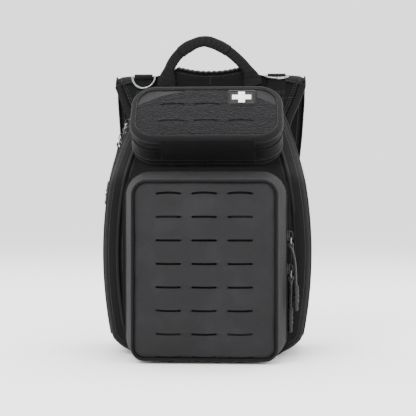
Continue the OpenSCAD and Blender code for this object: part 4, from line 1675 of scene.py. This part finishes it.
def build_rings():
    """D-rings and the webbing tabs that hold them."""
    for side in ("left", "right"):
        dress(f"d_ring_{side}", "steel")
    for s, label in ((-1, "left"), (1, "right")):
        x0 = s * 82
        arc = [(60.4, 305), (59.5, 308), (59.5, 318), (59.0, 324)] + [
            (56.4 + 2.9 * math.sin(a), 328 - 2.9 * math.cos(a))
            for a in (math.radians(t) for t in (70, 110, 150, 190, 230, 270, 310, 350))
        ]
        P = [[Vector((x0 + u, y, z)) for u in (-11, -10, -5, 0, 5, 10, 11)] for y, z in reversed(arc)]
        put_wall(
            f"d_ring_tab_{label}", P, False, 1.0, (x0, 56.4, 328), "webbing", "pack_back", "webbing",
            ("d_ring_tabs",) if s < 0 else (),
        )
        for z in (307, 309.5):
            row(
                "pack_back", "fine", [Vector((x0 + u, 58.4, z)) for u in (-9, -4, 0, 4, 9)],
                [Vector((0, -1, 0))] * 5,
            )


# ---- zip pulls ----


def half_at(z):
    """Half the body's width at a height."""
    return BODY_HALF - BOW_R + math.sqrt(BOW_R**2 - (z - BOW_Z) ** 2)


def side_frame(z):
    """A slider's place on the left side: point, direction of the zip, and outward."""
    bow = math.sqrt(BOW_R**2 - (z - BOW_Z) ** 2)
    t = Vector(((z - BOW_Z) / bow, math.tan(SPLIT_LEAN), 1)).normalized()
    return Vector((-half_at(z), zip_y(z), z)), t, Vector((-1, 0, (z - BOW_Z) / bow)).normalized()


X, Z = Vector((1, 0, 0)), Vector((0, 0, 1))
PULL_LEAN = math.radians(14)  # pulls on the side lie along it
ALONG = Vector((math.sin(PULL_LEAN), 0, math.cos(PULL_LEAN)))
OFF = Vector((-math.cos(PULL_LEAN), 0, math.sin(PULL_LEAN)))
PULLS = {
    "front_upper": ((Vector((89, POCKET_ZIP_Y, 135)), Z, X), Z, X),
    "front_lower": ((Vector((89, POCKET_ZIP_Y, 98)), Z, X), Z, X),
    "main_upper": (side_frame(267), ALONG, OFF),
    "main_lower": (side_frame(249), ALONG, OFF),
    "top_left": ((slope(-2, POUCH_V + POUCH_H, POUCH_ZIP), X, UP_SLOPE), X, UP_SLOPE),
    "top_right": ((slope(18, POUCH_V + POUCH_H, POUCH_ZIP), -X, UP_SLOPE), -X, UP_SLOPE),
}
S = (1.75, 0, 0)


def top_route(s):
    """Route of a top pull, bending to side s."""
    return [
        ((s * 1.5, -12.5, -1.2), (1.2, -0.6, 0.5)), ((s * 7, -16.6, -2.6), (0.7, -1.5, 0)),
        ((s * 14, -18, -3), (0, -1.75, 0)), ((s * 20.5, -18.4, -2.6), (0, -1.75, 0)),
        ((s * 24.6, -18.5, 0), (0, -1.75, 0)), ((s * 25.4, -18.5, 5), (0, -1.75, 0)),
    ]


# each route is the cord's middle and the side that its two strands stand apart to, then the grip's way
ROUTES = {
    "front_upper": ([((-0.8, -12.5, 1.2), (1.5, 0, 0.8)), ((-4, -20, 3), S),
                    ((-7.6, -29, 4.4), S), ((-9, -40, 5), S), ((-9.2, -53, 5.4), S)], (0, -1, 0), (1, 0, 0)),
    "front_lower": (
        [((0, -12.5, 0.3), (1.5, 0, 0.8)), ((0, -19, 0.2), S), ((0.4, -28, 0), S), ((0.5, -41, -0.5), S)],
        (0, -1, 0), (1, 0, 0),
    ),
    "main_upper": ([((-0.4, -12.5, -0.9), (1.5, 0, 0.8)), ((-2, -21.5, -0.4), S),
                    ((-3, -34, 0.2), S), ((-3.2, -45.5, 0.6), S), ((-3.2, -53.7, 0.6), S)],
                   (0, -math.cos(math.radians(3.5)), -math.sin(math.radians(3.5))), (1, 0, 0)),
    "main_lower": ([((0, -12.5, -0.9), (1.5, 0, 0.8)), ((0.6, -21.4, -0.5), S),
                    ((1, -34, -0.1), S), ((1, -45.3, 0), S), ((1, -53.5, -0.3), S)],
                   (0, -math.cos(math.radians(5.5)), -math.sin(math.radians(5.5))), (1, 0, 0)),
    "top_left": (top_route(-1), (0, 0, 1), (0, 1, 0)),
    "top_right": (top_route(1), (0, 0, 1), (0, 1, 0)),
}


def frame_of(p, t, n):
    """A frame with its Y along t and its Z along n."""
    x = t.cross(n)
    return Matrix(((x.x, t.x, n.x, p.x), (x.y, t.y, n.y, p.y), (x.z, t.z, n.z, p.z), (0, 0, 0, 1)))


def pull_frame(key):
    """The frame in which a pull hangs from its slider's bridge."""
    (p, t, n), up, out = PULLS[key]
    pin = p + t * -1.5 + n * 5.05
    return frame_of(pin, up, out)


def loop_points(route):
    """The cord's whole loop: up one strand, through the ring, down the other."""
    def strand(s):
        """One of the two strands, from the ring to the grip."""
        pts = [Vector((0, -8.5 + 1.95, 0)), Vector((0, -8.5 + 1.2, s * 1.6)), Vector((s * 0.4, -8.9, s * 2.0))]
        pts += [Vector(a) + Vector(b) * s for a, b in route]
        return smooth_path(pts, 5)

    a, b = strand(1), strand(-1)
    return a[::-1] + b[1:]


def build_cords():
    """Six looped pull cords, each with its moulded grip."""
    for key, (route, _, _) in ROUTES.items():
        M = pull_frame(key)
        pts = [(M @ p) * MM for p in loop_points(route)]
        cu = bpy.data.curves.new(f"cord_{key}", "CURVE")
        cu.dimensions = "3D"
        cu.bevel_depth = CORD_R * MM
        cu.bevel_resolution = 3
        cu.use_fill_caps = True
        sp = cu.splines.new("POLY")
        sp.points.add(len(pts) - 1)
        for point, p in zip(sp.points, pts):
            point.co = (*p, 1)
        cu.materials.append(FINISH["cord"])
        ob = bpy.data.objects.new(f"cord_{key}", cu)
        bpy.context.scene.collection.objects.link(ob)
        a, b = key.split("_")
        settle(ob, f"pull_{key}", (f"{a}_cord_{b}",))
        build_grip(key)


def build_grip(key):
    """Moulded grip over the cord's ends: a smooth neck, a twisted middle and a flat tail."""
    route, way, wide = ROUTES[key]
    M = pull_frame(key)
    start, d, w = Vector(route[-1][0]), Vector(way), Vector(wide)
    t = d.cross(w)
    rings, k = [], 20
    for i in range(41):
        s = i / 40
        half = 3.5 + 0.5 * ease(s / 0.3) - 0.9 * math.exp(
            -(((s - 0.8) / 0.09) ** 2)
        ) - 0.5 * ease((s - 0.9) / 0.1)
        deep = 2.8 - 0.5 * math.exp(-(((s - 0.8) / 0.09) ** 2)) - 0.5 * ease((s - 0.86) / 0.14)
        end = 1 - 0.35 * (max(0, 1 - s / 0.05) ** 2 + max(0, (s - 0.95) / 0.05) ** 2)
        ring = []
        for j in range(k):
            a = math.tau * j / k
            c, q = math.cos(a), math.sin(a)
            rib = 0.5 * ease((s - 0.28) / 0.06) * ease((0.74 - s) / 0.06) * math.sin(s * 34 + (c * 2.1))
            ring.append(
                M @ (
                    start + d * (GRIP_LEN * s - 0.05) + w * (
                        half * end * math.copysign(abs(c) ** 0.7, c) + rib * c
                    ) + t * (deep * end * math.copysign(abs(q) ** 0.7, q) + rib * q)
                )
            )
        rings.append(ring)
    a, b = key.split("_")
    return put(
        f"grip_{key}", *ring_skin(rings), "rubber", f"pull_{key}", "grip_rubber", (f"{a}_tip_{b}",), angle=50
    )


def build_sliders():
    """Six cast sliders: two shaped plates joined by a neck, and a bridge for the ring."""
    for key, (spot, _, _) in PULLS.items():
        M = frame_of(*spot)
        verts, faces = [], []

        def block(outline, z0, z1, bevel):
            """A plate with bevelled edges."""
            k = len(verts)
            m = len(outline)
            cx, cy = sum(q[0] for q in outline) / m, sum(q[1] for q in outline) / m
            for z, sh in ((z0, bevel), (z0 + bevel, 0), (z1 - bevel, 0), (z1, bevel)):
                for x, y in outline:
                    f = 1 - sh / max(1.5, math.hypot(x - cx, y - cy))
                    verts.append(M @ Vector((cx + (x - cx) * f, cy + (y - cy) * f, z)))
            for a in range(3):
                for b in range(m):
                    c = (b + 1) % m
                    faces.append([k + a * m + b, k + a * m + c, k + (a + 1) * m + c, k + (a + 1) * m + b])
            faces.append([k + b for b in reversed(range(m))])
            faces.append([k + 3 * m + b for b in range(m)])

        shield = [
            (4.2, 5.2), (3.4, 6.4), (1.2, 6.5), (-1.2, 6.5), (-3.4, 6.4), (-4.2, 5.2), (-4.4, 1.5),
            (-3.9, -2.5), (-3.0, -5.4), (-1.6, -5.9), (1.6, -5.9), (3.0, -5.4), (3.9, -2.5), (4.4, 1.5),
        ]
        block(shield, 0.6, 1.7, 0.3)
        block([(x * 0.5, y * 0.7) for x, y in shield], 1.6, 2.4, 0.1)
        block(shield, 2.3, 3.4, 0.35)
        arch = smooth_path(
            [
                (0, -4.6, 3.1), (0, -4.7, 5.4), (0, -3.2, 7.0), (0, 0, 7.25), (0, 3.2, 7.0), (0, 4.7, 5.4),
                (0, 4.6, 3.1),
            ],
            4,
        )
        outs = [Vector((0, q.y, (q.z - 4) * 1.2)).normalized() for q in arch]
        vv, ff, _ = sweep(
            arch, outs,
            [(-0.35, -0.75), (0.1, -0.8), (0.45, -0.6), (0.5, 0), (0.45, 0.6), (0.1, 0.8), (-0.35, 0.75)],
        )
        k = len(verts)
        verts += [M @ v for v in vv]
        faces += [[i + k for i in f] for f in ff]
        a, b = key.split("_")
        put(
            f"slider_{key}", verts, turn_out(verts, faces), "slider", f"slider_{key}", "slider_metal",
            (f"{a}_slider_{b}",), angle=35,
        )
        dress(f"{a}_ring_{b}", "steel")


# ---- stage ----


def build_stage(p):
    """Paper floor, white surround, soft boxes and the camera."""
    me = bpy.data.meshes.new("studio_floor")
    s = 6.0
    me.from_pydata([(-s, -s, -0.0004), (s, -s, -0.0004), (s, s, -0.0004), (-s, s, -0.0004)], [], [[0, 1, 2, 3]])
    me.materials.append(FINISH["paper"])
    floor = bpy.data.objects.new("studio_floor", me)
    bpy.context.scene.collection.objects.link(floor)
    world = bpy.data.worlds.new("studio")
    bpy.context.scene.world = world
    world.use_nodes = True
    sky = world.node_tree.nodes["Background"]
    sky.inputs["Color"].default_value = (1, 1, 1, 1)
    sky.inputs["Strength"].default_value = p.sky
    for name, spot, size, power in (
        ("key_soft_box", (-0.9, -1.3, 1.6), 1.1, p.key),
        ("fill_soft_box", (1.3, -1.2, 0.9), 1.2, p.key * 0.5),
        ("top_soft_box", (0.1, 0.3, 1.9), 1.2, p.key * 0.8),
        ("rim_left", (-1.4, 0.9, 0.8), 0.9, p.key * 0.25),
        ("rim_right", (1.4, 0.9, 0.8), 0.9, p.key * 0.25),
    ):
        lamp = bpy.data.lights.new(name, "AREA")
        lamp.shape, lamp.size, lamp.energy = "DISK", size, power
        ob = bpy.data.objects.new(name, lamp)
        ob.location = spot
        ob.rotation_euler = (Vector((0, 0, 0.17)) - Vector(spot)).to_track_quat("-Z", "Y").to_euler()
        bpy.context.scene.collection.objects.link(ob)
    cam = bpy.data.cameras.new("camera")
    cam.lens = 76.15
    cam.sensor_width = 36
    ob = bpy.data.objects.new("camera", cam)
    ob.location = (0.0438, -1.0271, 0.1657)
    ob.rotation_euler = (math.radians(90), 0, math.radians(2.44))
    bpy.context.scene.collection.objects.link(ob)
    bpy.context.scene.camera = ob


# ---- the add-on ----


class BackpackLooks(bpy.types.PropertyGroup):
    cloth_dark: bpy.props.StringProperty(
        name="Cloth shade", description="Darkest colour of the body cloth, as hex", default="#040405"
    )
    cloth_light: bpy.props.StringProperty(
        name="Cloth light", description="Lightest colour of the body cloth, as hex", default="#101012"
    )
    face_dark: bpy.props.StringProperty(
        name="Face shade", description="Darkest colour of the cut laminate, as hex", default="#0d0d0f"
    )
    face_light: bpy.props.StringProperty(
        name="Face light", description="Lightest colour of the cut laminate, as hex", default="#1b1b1d"
    )
    key: bpy.props.FloatProperty(
        name="Key light", description="Power of the main soft box", default=34.0, min=0.0, unit="POWER"
    )
    sky: bpy.props.FloatProperty(
        name="Studio white", description="Strength of the white surround", default=1.9, min=0.0
    )


STEPS = []


def piece_operator(key, label, doc, work):
    """One operator that makes a piece or a group of like pieces."""

    def execute(self, context):
        work(context.scene.backpack)
        return {"FINISHED"}

    kind = type(
        f"BACKPACK_OT_{key}", (bpy.types.Operator,),
        {
            "__doc__": doc, "bl_idname": f"backpack.{key}", "bl_label": label, "bl_options": {"REGISTER"},
            "execute": execute,
        },
    )
    STEPS.append(kind)


piece_operator("finishes", "Finishes", "Make every cloth, tape, rubber and metal finish", make_finishes)
piece_operator("stage", "Stage", "Lay the paper floor and set the soft boxes and the camera", build_stage)
piece_operator(
    "cords", "Pull cords", "Run the six looped pull cords with their moulded grips", lambda p: build_cords()
)
piece_operator(
    "sliders", "Sliders", "Cast the six zip sliders and plate their rings", lambda p: build_sliders()
)
piece_operator("rear", "Rear shell", "Sew the rear half of the body", lambda p: build_rear_shell())
piece_operator("main_front", "Main front", "Sew the front half of the body", lambda p: build_main_front())
piece_operator(
    "main_zip", "Main zip", "Sew in the long zip and the hinge at its foot", lambda p: build_main_zip()
)
piece_operator(
    "side_webbing", "Side webbing", "Tack the webbing rows on the sides", lambda p: build_side_webbing()
)
piece_operator("pocket_face", "Pocket face", "Cut and shape the laminate face", lambda p: build_pocket_face())
piece_operator(
    "pocket", "Front pocket", "Sew the pocket's gusset, piping and lining", lambda p: build_pocket_gusset()
)
piece_operator("pocket_zip", "Pocket zip", "Sew in the pocket's zip and hinge", lambda p: build_pocket_zip())
piece_operator("pouch", "Top pouch", "Sew the pouch, its zip, lid and loop field", lambda p: build_pouch())
piece_operator("patch", "Patch", "Mould the first-aid patch", lambda p: build_patch())
piece_operator("handle", "Carry handle", "Fold and sew the carry handle", lambda p: build_handle())
piece_operator("yoke", "Yoke", "Sew the yoke and the collar", lambda p: build_yoke())
piece_operator("straps", "Shoulder straps", "Pad and bind the shoulder straps", lambda p: build_straps())
piece_operator(
    "back", "Back", "Pad the back and fit the lower webbing, locks and sleeve", lambda p: build_back()
)
piece_operator("rings", "D rings", "Plate the D rings and fold their tabs", lambda p: build_rings())
piece_operator(
    "rows", "Stitches and coils", "Lay every row of stitches, bar tacks and zip coil", lambda p: lay_rows()
)


class BACKPACK_PT_panel(bpy.types.Panel):
    """Lists the pieces in the order they are made"""

    bl_label = "Trauma backpack"
    bl_idname = "BACKPACK_PT_panel"
    bl_space_type = "VIEW_3D"
    bl_region_type = "UI"
    bl_category = "Backpack"

    def draw(self, context):
        for name in BackpackLooks.__annotations__:
            self.layout.prop(context.scene.backpack, name)
        for step in STEPS:
            self.layout.operator(step.bl_idname)


def register():
    """Registers the add-on's classes."""
    for kind in (BackpackLooks, *STEPS, BACKPACK_PT_panel):
        bpy.utils.register_class(kind)
    bpy.types.Scene.backpack = bpy.props.PointerProperty(type=BackpackLooks)


def unregister():
    """Takes them away again."""
    del bpy.types.Scene.backpack
    for kind in (BACKPACK_PT_panel, *reversed(STEPS), BackpackLooks):
        bpy.utils.unregister_class(kind)


def main():
    """Makes every piece in order and notes the sizes before and after."""
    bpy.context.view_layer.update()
    register()
    for step in STEPS:
        getattr(bpy.ops.backpack, step.bl_idname.split(".")[1])()
    bpy.context.view_layer.update()


if __name__ == "__main__":
    main()
